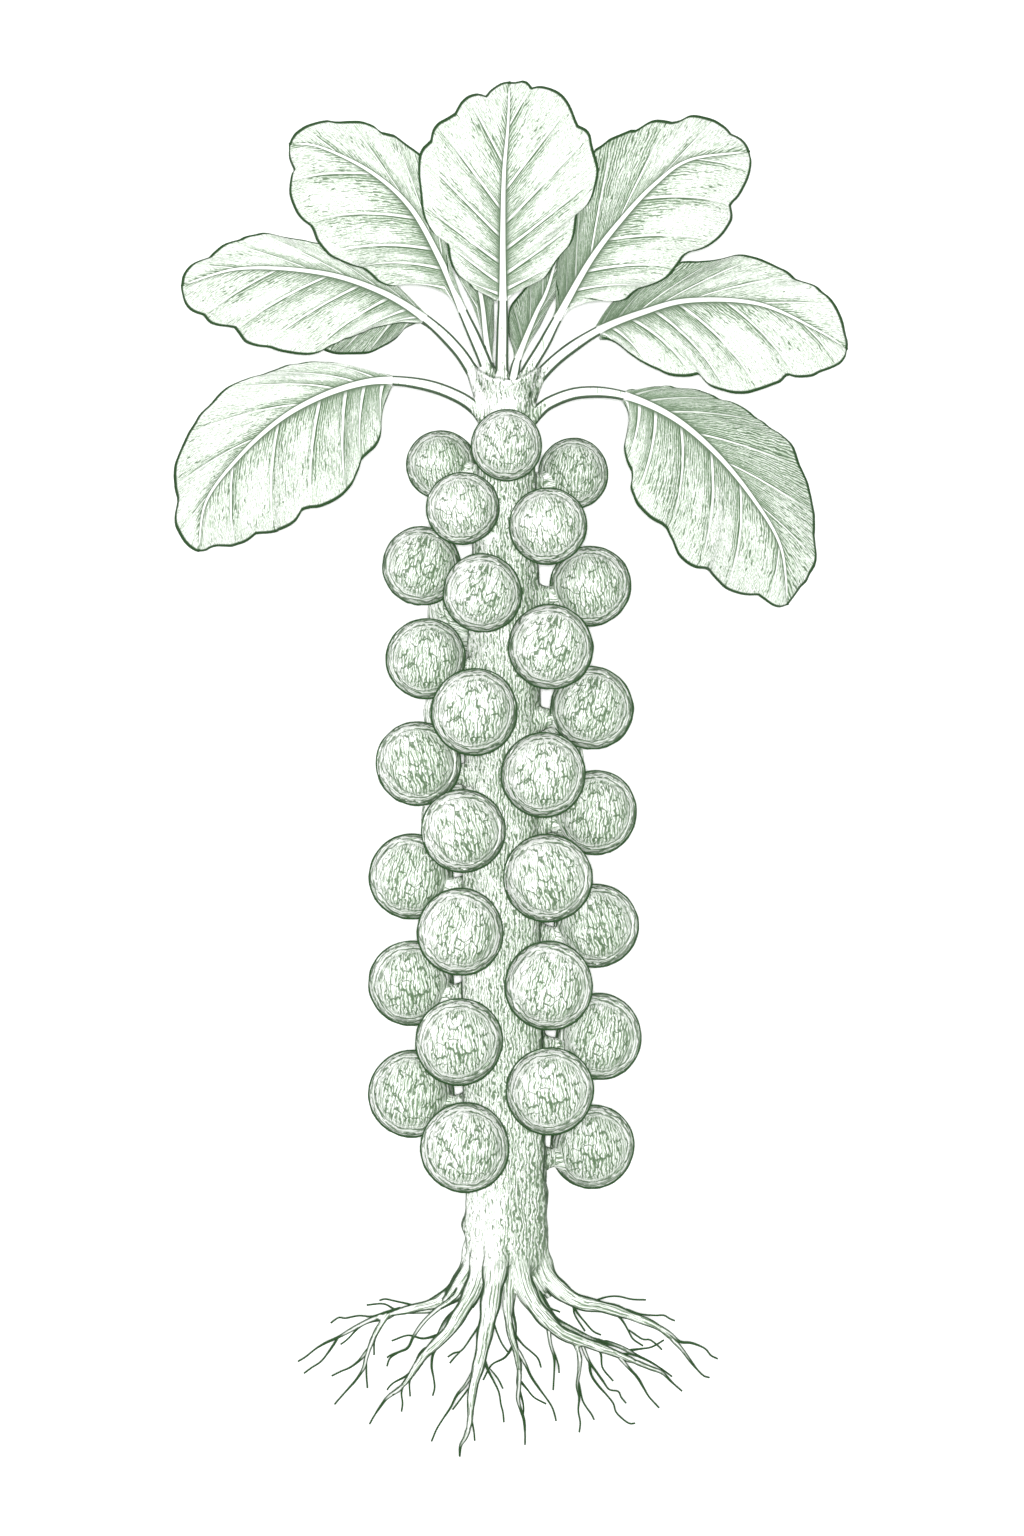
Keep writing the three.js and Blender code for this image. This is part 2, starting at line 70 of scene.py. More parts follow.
Array = np.ndarray
Material = bpy.types.Material
Mesh = bpy.types.Mesh
Socket = bpy.types.NodeSocket

TAU = 2 * math.pi
MM = 0.001
PLANT_ORIGIN = np.array([-1.7, -235.7, 56.0])
FLOOR = -PLANT_ORIGIN[2]
GRID_SQUARE = 0.45
GRID_MIDDLE = 506.0
GRID_SOIL = 1290.0
# The way to the light that painted shade is reckoned from: strokes crowd on the side turned from
# it.
PAINTED_LIGHT_WAY = np.array([-0.50, 0.38, 0.78])


# ------------------------ numbers and curves


def ramp(value: Array, low: float, high: float) -> Array:
    """Climbs from 0 at low to 1 at high, level at both ends: t squared times (3 minus 2 t)."""
    t = np.clip((np.asarray(value, float) - low) / (high - low), 0.0, 1.0)
    return t * t * (3.0 - 2.0 * t)


def unit(ways: Array) -> Array:
    """Each vector divided by its own length."""
    return ways / np.maximum(np.linalg.norm(ways, axis=-1, keepdims=True), 1e-12)


def vectors(*parts: Array | float) -> Array:
    """Arrays or numbers side by side as vectors, each spread to the shape of the largest."""
    return np.stack(np.broadcast_arrays(*parts), axis=-1)


def round_angles(count: int) -> Array:
    """Angles in even steps once round a circle, from 0."""
    return TAU * np.arange(count) / count


def lengths_along(path: Array) -> Array:
    """How far along a path each of its points is: the running sum of its steps."""
    steps = np.linalg.norm(np.diff(path, axis=0), axis=1)
    return np.concatenate([[0.0], np.cumsum(steps)])


def draw(index: int, stream: int) -> float:
    """The index-th repeatable value of a stream, from 0 to 1: steps of the golden ratio."""
    return ((index + 1) * 0.618034 + (stream + 1) * 0.414214) % 1.0


def on_grid(squares: list[float]) -> Array:
    """Grid squares, right and down in turn, as millimetres across and up from the soil line."""
    right, down = np.reshape(squares, (-1, 2)).T
    return vectors(right - GRID_MIDDLE, GRID_SOIL - down) * GRID_SQUARE


def raised(points: Array, level: float) -> Array:
    """The same points, with those lower than a level raised to it."""
    return vectors(points[:, 0], points[:, 1], np.maximum(points[:, 2], level))


def spline(points: Array, places: Array) -> Array:
    """A smooth curve through points: on each stretch a cubic whose slope at a point is half the
    step between its neighbours.

    Args:
        points: the points that the curve runs through, one row each.
        places: where to read it, 0 at the first point and 1 at the last.

    Returns:
        One row for each place.
    """
    points = np.asarray(points, float)
    padded = np.vstack([2 * points[0] - points[1], points, 2 * points[-1] - points[-2]])
    along = np.clip(np.asarray(places, float), 0, 1) * (len(points) - 1)
    start = np.minimum(along.astype(int), len(points) - 2)
    t = (along - start)[:, None]
    a, b, c, d = (padded[start + step] for step in range(4))
    return 0.5 * (2 * b + (c - a) * t + (2 * a - 5 * b + 4 * c - d) * t**2
                  + (3 * b - a - 3 * c + d) * t**3)


def even_places(points: Array, low: float, high: float, shares: Array) -> Array:
    """Places on a spline, evenly by its length.

    Args:
        points: the points that the spline runs through.
        low: the place to start from.
        high: the place to end at.
        shares: shares of the length between them.

    Returns:
        The spline's place for each share.
    """
    places = np.linspace(low, high, 241)
    length = lengths_along(spline(points, places))
    return np.interp(np.asarray(shares) * length[-1], length, places)


def tangents(points: Array, places: Array) -> Array:
    """Unit directions of a spline at the given places, from a small step to either side."""
    step = 1e-3
    return unit(spline(points, places + step) - spline(points, places - step))


def eased(pairs: tuple[tuple[float, float], ...], places: Array) -> Array:
    """Reads a table with an ease in and out of each of its rows.

    Args:
        pairs: places in rising order, each with its value.
        places: where to read it.

    Returns:
        The value at each place.
    """
    knots = np.array(pairs, float)
    places = np.clip(places, knots[0, 0], knots[-1, 0])
    i = np.clip(np.searchsorted(knots[:, 0], places, side="right") - 1, 0, len(knots) - 2)
    t = ramp((places - knots[i, 0]) / (knots[i + 1, 0] - knots[i, 0]), 0, 1)
    return knots[i, 1] + (knots[i + 1, 1] - knots[i, 1]) * t


def crinkle(x: Array, y: Array, wavelength: float, seed: int) -> Array:
    """Irregular waves: seven sine waves of like length, each turned its own way.

    Args:
        x: places one way.
        y: places the other way.
        wavelength: the middle length of a wave.
        seed: which repeatable pattern.

    Returns:
        The height at each place, from -1 to 1.
    """
    total = np.zeros(np.broadcast(x, y).shape)
    for wave in range(7):
        turn = TAU * draw(wave, seed)
        pitch = TAU / (wavelength * (0.7 + 0.8 * draw(wave, seed + 11)))
        phase = TAU * draw(wave, seed + 23)
        total += np.sin(pitch * (x * math.cos(turn) + y * math.sin(turn)) + phase)
    return total / 4.0


def painted_shade_turn(normals: Array) -> Array:
    """Painted shade: how far surfaces turn from the light, 0 facing it, 1 square to it, up to 1.25
    beyond.
    """
    return np.clip(1.0 - normals @ unit(PAINTED_LIGHT_WAY), 0.0, 1.25)


def flank(upness: Array, radius: Array, width: float | Array) -> Array:
    """Painted shade: dark strips down both flanks of a round stretch, where it turns down from the
    overhead light, as wide as given when seen from above.

    A point is on a strip where its upness, the upward part of its normal, is under the root of
    1 - (1 - width / radius) squared. The strips fade away on the underside.
    """
    share = np.clip(1 - width / np.maximum(radius, 1e-6), 0.0, 1.0)
    limit = np.sqrt(1 - share**2) + 0.1 * ramp(0.3 - share, 0.0, 0.2)
    return ramp(limit - upness, -0.09, 0.09) * ramp(upness, -0.45, -0.1)


# ------------------------ meshes


@dataclass
class Surface:
    """Points, faces and per-point values of one piece, in plant millimetres."""

    points: Array
    faces: Array
    values: dict[str, Array] = field(default_factory=dict)

    @staticmethod
    def joined(parts: list["Surface"]) -> "Surface":
        """Several surfaces as one, with the same named values on each."""
        starts = np.cumsum([0] + [len(part.points) for part in parts[:-1]])
        faces = np.vstack([part.faces + start for part, start in zip(parts, starts)])
        names = parts[0].values
        values = {name: np.vstack([part.values[name] for part in parts]) for name in names}
        return Surface(np.vstack([part.points for part in parts]), faces, values)

    def bare(self) -> "Surface":
        """The same points and faces with no values."""
        return Surface(self.points, self.faces)


def ring_skin(rings: Array, values: dict[str, Array] | None = None) -> Surface:
    """Faces between successive closed rings.

    Args:
        rings: points as (rows, sides, 3).
        values: per-point values as (rows, sides, n).

    Returns:
        The skin, open at its ends unless the end rings are each drawn together to one point.
    """
    rows, sides, _ = rings.shape
    row = np.arange(rows - 1)[:, None]
    side = np.arange(sides)[None, :]
    after = (side + 1) % sides
    quads = np.stack([row * sides + side, row * sides + after,
                      (row + 1) * sides + after, (row + 1) * sides + side], axis=-1)
    kept = {name: value.reshape(rows * sides, -1) for name, value in (values or {}).items()}
    return Surface(rings.reshape(-1, 3), quads.reshape(-1, 4), kept)


def capped(rings: Array, values: dict[str, Array] | None = None) -> Surface:
    """A skin closed at both ends by one more row each, at the end ring's middle."""
    first = np.broadcast_to(rings[:1].mean(axis=1, keepdims=True), rings[:1].shape)
    last = np.broadcast_to(rings[-1:].mean(axis=1, keepdims=True), rings[-1:].shape)
    kept = {name: np.concatenate([value[:1], value, value[-1:]])
            for name, value in (values or {}).items()}
    return ring_skin(np.concatenate([first, rings, last]), kept)


def tube_frame(points: Array) -> tuple[Array, Array]:
    """The ways level across and up at each point of a line, square to it."""
    along = unit(np.gradient(points, axis=0))
    across = unit(np.cross(along, np.array([0.03, 0.02, 1.0])))
    return across, np.cross(across, along)


def tube(points: Array, radii: Array, sides: int, line_width: float = 0.5) -> Surface:
    """A round tube along points, closed at its ends, with grain and marks for a fibre finish.

    Args:
        points: middle line, one row each.
        radii: radius at each point.
        sides: points round each ring, counted from the underside.
        line_width: how wide the strips of painted shade down its flanks look from above.

    Returns:
        The tube.
    """
    across, up = tube_frame(points)
    angle = round_angles(sides) - math.pi
    normal = across[:, None] * np.sin(angle)[:, None] + up[:, None] * np.cos(angle)[:, None]
    radius = radii[:, None]
    grain = vectors(angle * radius, lengths_along(points)[:, None] + points[0, 0], points[0, 1])
    # Painted shade: strokes crowd where the tube turns from the light, and dark strips run down its
    # flanks.
    marks = vectors(0.15 + 0.5 * painted_shade_turn(normal),
                    flank(normal[..., 2], radius, line_width), 1.0)
    return capped(points[:, None] + normal * radius[..., None], {"grain": grain, "marks": marks})


def fill_mesh(name: str, surface: Surface) -> Mesh:
    """A mesh of quads in metres in the model's frame, with its values as vector attributes."""
    mesh = bpy.data.meshes.new(name)
    points = (surface.points + PLANT_ORIGIN) * MM
    count = len(surface.faces)
    mesh.vertices.add(len(points))
    mesh.vertices.foreach_set("co", points.astype(np.float32).ravel())
    mesh.loops.add(count * 4)
    mesh.loops.foreach_set("vertex_index", surface.faces.astype(np.int32).ravel())
    mesh.polygons.add(count)
    mesh.polygons.foreach_set("loop_start", np.arange(0, count * 4, 4, dtype=np.int32))
    mesh.update(calc_edges=True)
    for key, value in surface.values.items():
        set_value(mesh, key, value)
    return mesh


def set_value(mesh: Mesh, key: str, value: Array) -> None:
    """Puts three numbers on each point of a mesh under a name that finishes read."""
    layer = mesh.attributes.new(key, "FLOAT_VECTOR", "POINT")
    layer.data.foreach_set("vector", value.astype(np.float32).ravel())


def tidy(mesh: Mesh, merge: float = 1e-6) -> None:
    """Merges points that fall together, drops faces with no area and turns faces outwards."""
    work = bmesh.new()
    work.from_mesh(mesh)
    bmesh.ops.remove_doubles(work, verts=work.verts, dist=merge)
    bmesh.ops.dissolve_degenerate(work, edges=work.edges, dist=merge)
    loose = [vertex for vertex in work.verts if not vertex.link_faces]
    bmesh.ops.delete(work, geom=loose, context="VERTS")
    bmesh.ops.recalc_face_normals(work, faces=work.faces)
    work.to_mesh(mesh)
    work.free()


def remeshed(name: str, shells: list[Surface], voxel: float, rounds: int) -> Mesh:
    """Closed shells melted into one skin by a voxel remesh, then relaxed.

    Args:
        name: what to call the mesh.
        shells: the shells, in plant millimetres.
        voxel: the remesh's grain, in millimetres.
        rounds: how often each point moves halfway to the mean of its neighbours.

    Returns:
        One closed mesh in metres.
    """
    whole = Surface.joined([shell.bare() for shell in shells])
    source = bpy.data.objects.new(name + " shells", fill_mesh(name + " shells", whole))
    tidy(source.data)
    bpy.context.scene.collection.objects.link(source)
    remesh = source.modifiers.new("melt", "REMESH")
    remesh.mode = "VOXEL"
    remesh.voxel_size = voxel * MM
    relax = source.modifiers.new("relax", "SMOOTH")
    relax.factor = 0.5
    relax.iterations = rounds
    graph = bpy.context.evaluated_depsgraph_get()
    mesh = bpy.data.meshes.new_from_object(source.evaluated_get(graph))
    used = source.data
    bpy.data.objects.remove(source)
    bpy.data.meshes.remove(used)
    mesh.name = name
    return mesh


class Skin:
    """The skin of shells melted together, with its points in plant millimetres and its normals."""

    def __init__(self, name: str, shells: list[Surface], voxel: float, rounds: int) -> None:
        """Melts the shells and reads points and normals from the mesh."""
        self.mesh = remeshed(name, shells, voxel, rounds)
        points, normals = np.zeros((2, len(self.mesh.vertices) * 3))
        self.mesh.vertices.foreach_get("co", points)
        self.mesh.vertex_normals.foreach_get("vector", normals)
        self.points = points.reshape(-1, 3) / MM - PLANT_ORIGIN
        self.normals = normals.reshape(-1, 3)
        self.across, self.height, self.front = self.points.T

    def dress(self, move: Array, marks: Array, grain: Array) -> None:
        """Moves points out along their normals, with nothing under the floor, and gives them
        their marks and grain."""
        placed = raised(self.points + self.normals * move[:, None], FLOOR) + PLANT_ORIGIN
        self.mesh.vertices.foreach_set("co", (placed * MM).astype(np.float32).ravel())
        self.mesh.update()
        set_value(self.mesh, "marks", marks)
        set_value(self.mesh, "grain", grain)


def finished(name: str, mesh: Mesh, material: Material,
             nodes: tuple[str, ...]) -> bpy.types.Object:
    """Makes a piece of a mesh, dresses it and puts it in the place of its nodes.

    Args:
        name: the piece's name.
        mesh: its mesh, with its place in it.
        material: its finish.
        nodes: the model's nodes that it stands for.

    Returns:
        The new object.
    """
    mesh.materials.append(material)
    mesh.polygons.foreach_set("use_smooth", np.ones(len(mesh.polygons), bool))
    piece = bpy.data.objects.new(name, mesh)
    bpy.context.scene.collection.objects.link(piece)
    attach(piece, "root")
    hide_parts(*nodes)
    mesh.calc_loop_triangles()
    log.info("%s: %d triangles", name, len(mesh.loop_triangles))
    return piece


# ------------------------ finishes


def colour(red: int, green: int, blue: int) -> tuple[float, float, float, float]:
    """A screen colour from 0 to 255 as linear light, by the usual screen curve."""
    parts = [value / 255 for value in (red, green, blue)]
    linear = [p / 12.92 if p <= 0.04045 else ((p + 0.055) / 1.055) ** 2.4 for p in parts]
    return (*linear, 1.0)


@dataclass(frozen=True)
class Palette:
    """The few greens that the whole plant is coloured with."""

    white: tuple[float, ...] = colour(243, 245, 242)
    soft: tuple[float, ...] = colour(153, 176, 147)
    mid: tuple[float, ...] = colour(96, 122, 89)
    line: tuple[float, ...] = colour(40, 72, 36)


PALETTE = Palette()


class Wiring:
    """Builds one material's nodes, a call for each.

    A value is a socket of an earlier node or a constant, and every call gives a socket.
    """

    def __init__(self, name: str) -> None:
        """Starts a material with an empty tree, a Principled shader and an output."""
        self.material = bpy.data.materials.new(name)
        self.material.use_nodes = True
        self.tree = self.material.node_tree
        self.tree.nodes.clear()
        self.shader = self.node("BsdfPrincipled")
        self.node("OutputMaterial", {"Surface": self.shader.outputs[0]})

    def put(self, socket: Socket, value: object) -> None:
        """Links a value to a socket, or sets the socket to it where it is a constant."""
        if isinstance(value, Socket):
            self.tree.links.new(value, socket)
        else:
            socket.default_value = value

    def node(self, kind: str, inputs: dict[object, object] | None = None,
             **settings: str) -> bpy.types.Node:
        """A new node of a kind, with a value for each input by its name or place in the row."""
        node = self.tree.nodes.new("ShaderNode" + kind)
        for option, value in settings.items():
            setattr(node, option, value)
        for key, value in (inputs or {}).items():
            self.put(node.inputs[key], value)
        return node

    def math(self, operation: str, *values: object) -> Socket:
        """A Math node over one to three values."""
        return self.node("Math", dict(enumerate(values)), operation=operation).outputs[0]

    def minus(self, first: object, second: object) -> Socket:
        """The first value less the second."""
        return self.math("SUBTRACT", first, second)

    def rest(self, share: object) -> Socket:
        """What a share leaves of one."""
        return self.minus(1.0, share)

    def slope(self, value: object, factor: float, start: object) -> Socket:
        """A straight line: the value times a factor, plus a start."""
        return self.math("MULTIPLY_ADD", value, factor, start)

    def times(self, *values: object) -> Socket:
        """The product of two or more values."""
        product = values[0]
        for value in values[1:]:
            product = self.math("MULTIPLY", product, value)
        return product

    def plus(self, *values: object) -> Socket:
        """The sum of two or more values."""
        total = values[0]
        for value in values[1:]:
            total = self.math("ADD", total, value)
        return total

    def ramp(self, value: object, low: object, high: object, start: float = 0.0,
             end: object = 1.0) -> Socket:
        """A smooth step of a value from start at low to end at high."""
        inputs = dict(enumerate((value, low, high, start, end)))
        return self.node("MapRange", inputs, interpolation_type="SMOOTHSTEP").outputs[0]

    def mix(self, share: object, first: object, second: object) -> Socket:
        """The first colour at share 0 and the second at share 1."""
        return self.node("Mix", {0: share, 6: first, 7: second}, data_type="RGBA").outputs[2]

    def ink(self, share: object) -> Socket:
        """A pen green, from the middle one at share 0 to the darkest at 1."""
        return self.mix(share, PALETTE.mid, PALETTE.line)

    def vector(self, *parts: object) -> Socket:
        """Three values as one vector, where a pair is a value and the factor it is taken by."""
        values = [self.times(*part) if isinstance(part, tuple) else part for part in parts]
        return self.node("CombineXYZ", dict(enumerate(values))).outputs[0]

    def split(self, vector: object) -> list[Socket]:
        """The three numbers of a vector."""
        return list(self.node("SeparateXYZ", {0: vector}).outputs)

    def parts(self, name: str) -> list[Socket]:
        """The three values of a named attribute of the piece."""
        return self.split(self.node("Attribute", attribute_name=name).outputs["Vector"])

    def place(self) -> Socket:
        """The point on the piece, in metres."""
        return self.node("TexCoord").outputs["Object"]

    def stretched(self, scale: tuple[float, float, float]) -> Socket:
        """The point on the piece, multiplied on each axis."""
        return self.node("Mapping", {"Vector": self.place(), "Scale": scale}).outputs[0]

    def noise(self, vector: object, scale: float, detail: float = 2.0,
              rough: float = 0.5) -> Socket:
        """Soft noise from 0 to 1."""
        return self.node("TexNoise", {"Vector": vector, "Scale": scale, "Detail": detail,
                                      "Roughness": rough}).outputs[0]

    def cracks(self, vector: object, scale: float) -> Socket:
        """Distance to the nearest edge of an irregular net of cells."""
        return self.node("TexVoronoi", {"Vector": vector, "Scale": scale},
                         feature="DISTANCE_TO_EDGE").outputs["Distance"]

    def warped(self, vector: object, scale: float, amount: float) -> Socket:
        """A vector pushed about by coloured noise, so that a net on it loses its straight edges."""
        push = self.node("TexNoise", {"Vector": vector, "Scale": scale}).outputs["Color"]
        return self.node("VectorMath", {0: push, 1: (amount, amount, amount), 2: vector},
                         operation="MULTIPLY_ADD").outputs[0]

    def strokes(self, route: object, cover: object, width: float, wave: float = 3.0) -> Socket:
        """Wavy broken pen lines, one to each whole step of the route's first number.

        A point is on a line where that number, bent by soft noise, is within the width of half
        a step past a whole one. A line is drawn in stretches, where a noise of its own passes a
        level that falls as the cover grows, and narrows to nothing at their ends.

        Args:
            route: steps across the lines, then two places along them.
            cover: 0 for bare skin to 1 for whole lines.
            width: half a line's width, in steps, where the cover is one.
            wave: how far the lines bend.

        Returns:
            1 on a line and 0 off it.
        """
        bent = self.warped(self.warped(route, 0.45, wave), 1.7, 0.20 * wave)
        step, ahead, aside = self.split(bent)
        line = self.math("FLOOR", step)
        own = self.vector((line, 3.7), (ahead, 0.8), self.slope(line, 1.9, aside))
        level = self.slope(cover, -0.50, 0.72)
        drawn = self.ramp(self.noise(own, 1.0, 1.0), level, self.plus(level, 0.14))
        off = self.math("ABSOLUTE", self.minus(self.math("FRACT", step), 0.5))
        reach = self.slope(self.times(drawn, self.plus(cover, 0.9)), 0.52 * width, 0.004)
        on_line = self.ramp(off, reach, self.times(reach, 0.45))
        return self.times(on_line, self.ramp(drawn, 0.0, 0.25))

    def bump(self, height: object, strength: float, distance: float) -> None:
        """Fine relief from a height, on the shader's normal."""
        relief = self.node("Bump", {"Strength": strength, "Distance": distance, "Height": height})
        self.put(self.shader.inputs["Normal"], relief.outputs[0])

    def done(self, body: object, roughness: float, specular: float) -> Material:
        """Gives the shader its colour and gloss and returns the material."""
        self.put(self.shader.inputs["Base Color"], body)
        self.shader.inputs["Roughness"].default_value = roughness
        self.shader.inputs["Specular IOR Level"].default_value = specular
        return self.material


@dataclass(frozen=True)
class LeafFinish:
    """A waxy blade with white ribs and side veins.

    Each vein has a broken dark line of painted shadow along its lower edge. Strokes run out along
    the veins and crowd as painted shade beside them, beside the midrib and towards a foot in
    painted shadow. A fine speckle lies between, and a thin dark margin runs round the blade, past
    the tip of the rib.

    "veins" holds which side vein a point is at, whole on a vein, its share of the way out, and
    the millimetres from vein to vein there; "blade" millimetres out and along, and from the
    margin; "rib" the share across the rib, whether on it, and extra painted shadow.
    """

    name: str = "leaf blade"
    vein_half_width: float = 0.82
    vein_taper: float = 0.62
    strokes_per_vein: float = 15.0
    fine_strokes_per_long: float = 1.9
    margin_width: float = 1.9
    stalk_reach: float = 4.0
    bump_distance: float = 0.0005

    def material(self) -> Material:
        """The finish as a material."""
        w = Wiring(self.name)
        phase, out, gap = w.parts("veins")
        across, along, edge = w.parts("blade")
        rib_share, on_rib, dark = w.parts("rib")
        # The leaf's painted shadow, as given by its half's shade.
        deep_shadow = w.math("MINIMUM", dark, 1.0)
        on_stalk = w.ramp(along, self.stalk_reach, 0.0)

        from_vein = w.minus(w.math("FRACT", w.plus(phase, 0.5)), 0.5)
        ahead = w.times(from_vein, gap)
        half_width = w.slope(out, -self.vein_taper * self.vein_half_width, self.vein_half_width)
        clear = w.minus(w.math("ABSOLUTE", ahead), half_width)
        vein = w.times(w.ramp(clear, 0.15, -0.2), w.ramp(out, 0.95, 0.7))
        # Painted shadow: veins show less white, and strokes crowd on the base-ward side of each
        # raised vein and lightly on its other side.
        vein_shows = w.slope(w.ramp(dark, 0.4, 1.1), -0.85, 1.0)
        below = w.times(w.ramp(ahead, 0.0, -0.4), w.ramp(clear, 6.5, 0.0))
        above = w.times(w.ramp(ahead, 0.0, 0.4), w.ramp(clear, 2.6, 0.0))

        metric = w.vector(across, along, 0.0)
        patch = w.ramp(w.noise(metric, 0.05), 0.35, 0.65)
        inward = w.ramp(out, 0.95, 0.15)
        # Painted shade: strokes crowd beside the veins, beside the midrib and in the painted
        # shadow; the patches are random tone.
        cover = w.plus(0.35, w.times(below, 0.75, w.slope(inward, 0.6, 0.4)),
                       w.times(above, inward, 0.34), w.times(w.ramp(out, 0.36, 0.0), 0.46),
                       w.times(patch, 0.28), w.times(dark, 1.35), w.times(out, -0.10))
        grain = w.noise(metric, 1.0, 3.0, 0.65)
        speckle = w.ramp(grain, w.slope(cover, -0.13, 0.56), 0.63)
        fine_route = w.vector((phase, self.fine_strokes_per_long * self.strokes_per_vein),
                              (across, 0.50), 4.0)
        fine_strokes = w.strokes(fine_route, w.plus(cover, 0.30, w.times(deep_shadow, -0.6)), 0.34)
        long_route = w.vector((phase, self.strokes_per_vein), (across, 0.26), 0.0)
        long_cover = w.plus(cover, w.times(out, -0.22), w.times(deep_shadow, -0.12))
        long_strokes = w.strokes(long_route, long_cover, 0.30, 2.4)

        # Painted shadow: a broken dark line beside each vein, mostly on its base-ward side.
        beside_vein = w.ramp(w.math("ABSOLUTE", w.minus(clear, 0.35)), 0.55, 0.2)
        breaks = w.noise(w.vector(phase, (across, 0.09), 7.0), 1.0, 1.0)
        vein_shadow_line = w.times(beside_vein, w.ramp(out, 0.95, 0.4), w.ramp(breaks, 0.34, 0.48),
                            w.slope(w.ramp(ahead, 0.2, -0.2), 0.75, 0.2), vein_shows)
        blade = w.mix(w.times(speckle, 0.7), PALETTE.white, PALETTE.soft)
        blade = w.mix(w.times(fine_strokes, 0.8), blade, PALETTE.soft)
        blade = w.mix(w.times(long_strokes, 0.88), blade, w.ink(w.slope(deep_shadow, 0.50, 0.30)))
        blade = w.mix(w.times(vein, vein_shows), blade, PALETTE.white)
        blade = w.mix(vein_shadow_line, blade, w.ink(0.55))

        # Painted shade: dark lines down both edges of the rib and stalk, where it turns down.
        line_from = [w.slope(on_stalk, -0.17, share) for share in (0.72, 0.85)]
        rib_edge_shade = w.times(w.ramp(rib_share, *line_from),
                           w.slope(w.ramp(edge, 5.0, 15.0), 0.35, 0.60))
        streak = w.strokes(w.stretched((900.0, 160.0, 0.0)), 0.4, 0.3)
        rib = w.mix(w.times(streak, on_stalk, 0.8), PALETTE.white, PALETTE.soft)
        rib = w.mix(rib_edge_shade, rib, w.ink(w.slope(on_stalk, 0.4, 0.6)))

        at_tip = w.times(w.ramp(along, 30.0, 45.0), w.ramp(edge, 7.0, 1.5))
        rib_seen = w.times(on_rib, w.rest(at_tip))
        margin = w.ramp(edge, self.margin_width, 0.6 * self.margin_width)
        margin_seen = w.times(margin, w.rest(rib_seen), w.ramp(along, 0.0, 5.0, 0.3, 1.0))
        body = w.mix(margin_seen, w.mix(rib_seen, blade, rib), PALETTE.line)
        relief = w.plus(w.times(vein, 0.9), w.times(long_strokes, -0.35),
                        w.times(vein_shadow_line, -0.5), w.times(grain, 0.25))
        w.bump(relief, 0.35, self.bump_distance)
        return w.done(body, 0.6, 0.22)


@dataclass(frozen=True)
class SproutFinish:
    """Wrapped sprout leaves: a pale skin with a branching net of wavy lines, strokes that climb
    to the tip and crowd as painted shade where the ball turns away from the light, strokes of
    painted shade that ring its edge as seen from the front, and dark leaf margins.

    "skin" holds millimetres across and along the leaf and which leaf it is; "edge" how crowded
    the strokes are, mostly from painted shade, millimetres from the margin, and how dark the
    margin is; "rim" a place round the ball's edge, as a point on a circle, and how many
    millimetres inside the edge it looks, where the painted shade rings the edge.
    """

    name: str = "sprout leaf"
    cell_across: float = 0.165
    cell_along: float = 0.085
    net_width: float = 0.052
    thinnest_net: float = 0.014
    line_gap: float = 1.9
    ring_gap: float = 2.0
    rim_width: float = 6.0
    bump_distance: float = 0.0006

    def material(self) -> Material:
        """The finish as a material."""
        w = Wiring(self.name)
        across, along, leaf = w.parts("skin")
        cover, margin_mm, margin_dark = w.parts("edge")
        round_x, round_y, inward = w.parts("rim")
        shift = w.times(leaf, 7.3)
        metric = w.vector(across, along, shift)
        patch = w.noise(metric, 0.10, 1.0)
        crowd = w.plus(cover, w.times(w.ramp(patch, 0.38, 0.62), 0.30), 0.02)
        # Painted shade near the ball's edge as seen from the front: strokes ring it in darker ink.
        at_rim = w.ramp(inward, self.rim_width, 0.35 * self.rim_width)
        off_rim = w.rest(at_rim)

        cells = w.vector((across, self.cell_across), (along, self.cell_along), shift)
        net = w.cracks(w.warped(w.warped(cells, 0.9, 1.5), 2.6, 0.26), 1.0)
        net_width = w.ramp(w.noise(metric, 0.30, 2.0), 0.30, 0.56, self.thinnest_net,
                           self.net_width)
        folds = w.ramp(net, net_width, w.times(net_width, 0.4))
        net_line = w.times(folds, w.slope(off_rim, 0.75, 0.25))

        line, ring = 1 / self.line_gap, 1 / self.ring_gap
        climbing = w.strokes(w.vector((across, line), (along, 0.6 * line), w.plus(shift, 3.0)),
                             crowd, 0.25, 2.6)
        rim_shade_strokes = w.strokes(w.vector((inward, ring), round_x, w.plus(round_y, shift)),
                            w.plus(crowd, 0.16), 0.20, 1.9)
        fine = w.strokes(w.vector((across, 1.7 * line), (along, 0.9 * line), w.plus(shift, 6.0)),
                         w.plus(crowd, 0.10), 0.36, 3.0)
        fine_rim_shade_strokes = w.strokes(w.vector((inward, 1.8 * ring), (round_x, 1.6), (round_y, 1.6)),
                              w.plus(crowd, -0.02), 0.24, 1.9)
        fine_strokes = w.plus(w.times(fine, off_rim), w.times(fine_rim_shade_strokes, at_rim))
        strokes = w.plus(w.times(climbing, off_rim), w.times(rim_shade_strokes, at_rim))

        broken = w.ramp(w.noise(metric, 0.16, 1.0), 0.36, 0.5)
        firm = w.math("MAXIMUM", w.ramp(margin_dark, 0.9, 1.0), broken)
        margin = w.times(w.ramp(margin_mm, 0.95, 0.45), margin_dark, firm)
        body = w.mix(w.times(fine_strokes, 0.85), PALETTE.white, PALETTE.soft)
        body = w.mix(w.times(strokes, 0.9), body, w.ink(w.slope(at_rim, 0.35, 0.05)))
        body = w.mix(w.times(net_line, 0.9), body, w.ink(0.3))
        body = w.mix(margin, body, PALETTE.line)
        relief = w.plus(w.times(net_line, -1.0), w.times(strokes, -0.4), w.times(patch, 0.6))
        w.bump(relief, 0.5, self.bump_distance)
        return w.done(body, 0.58, 0.25)


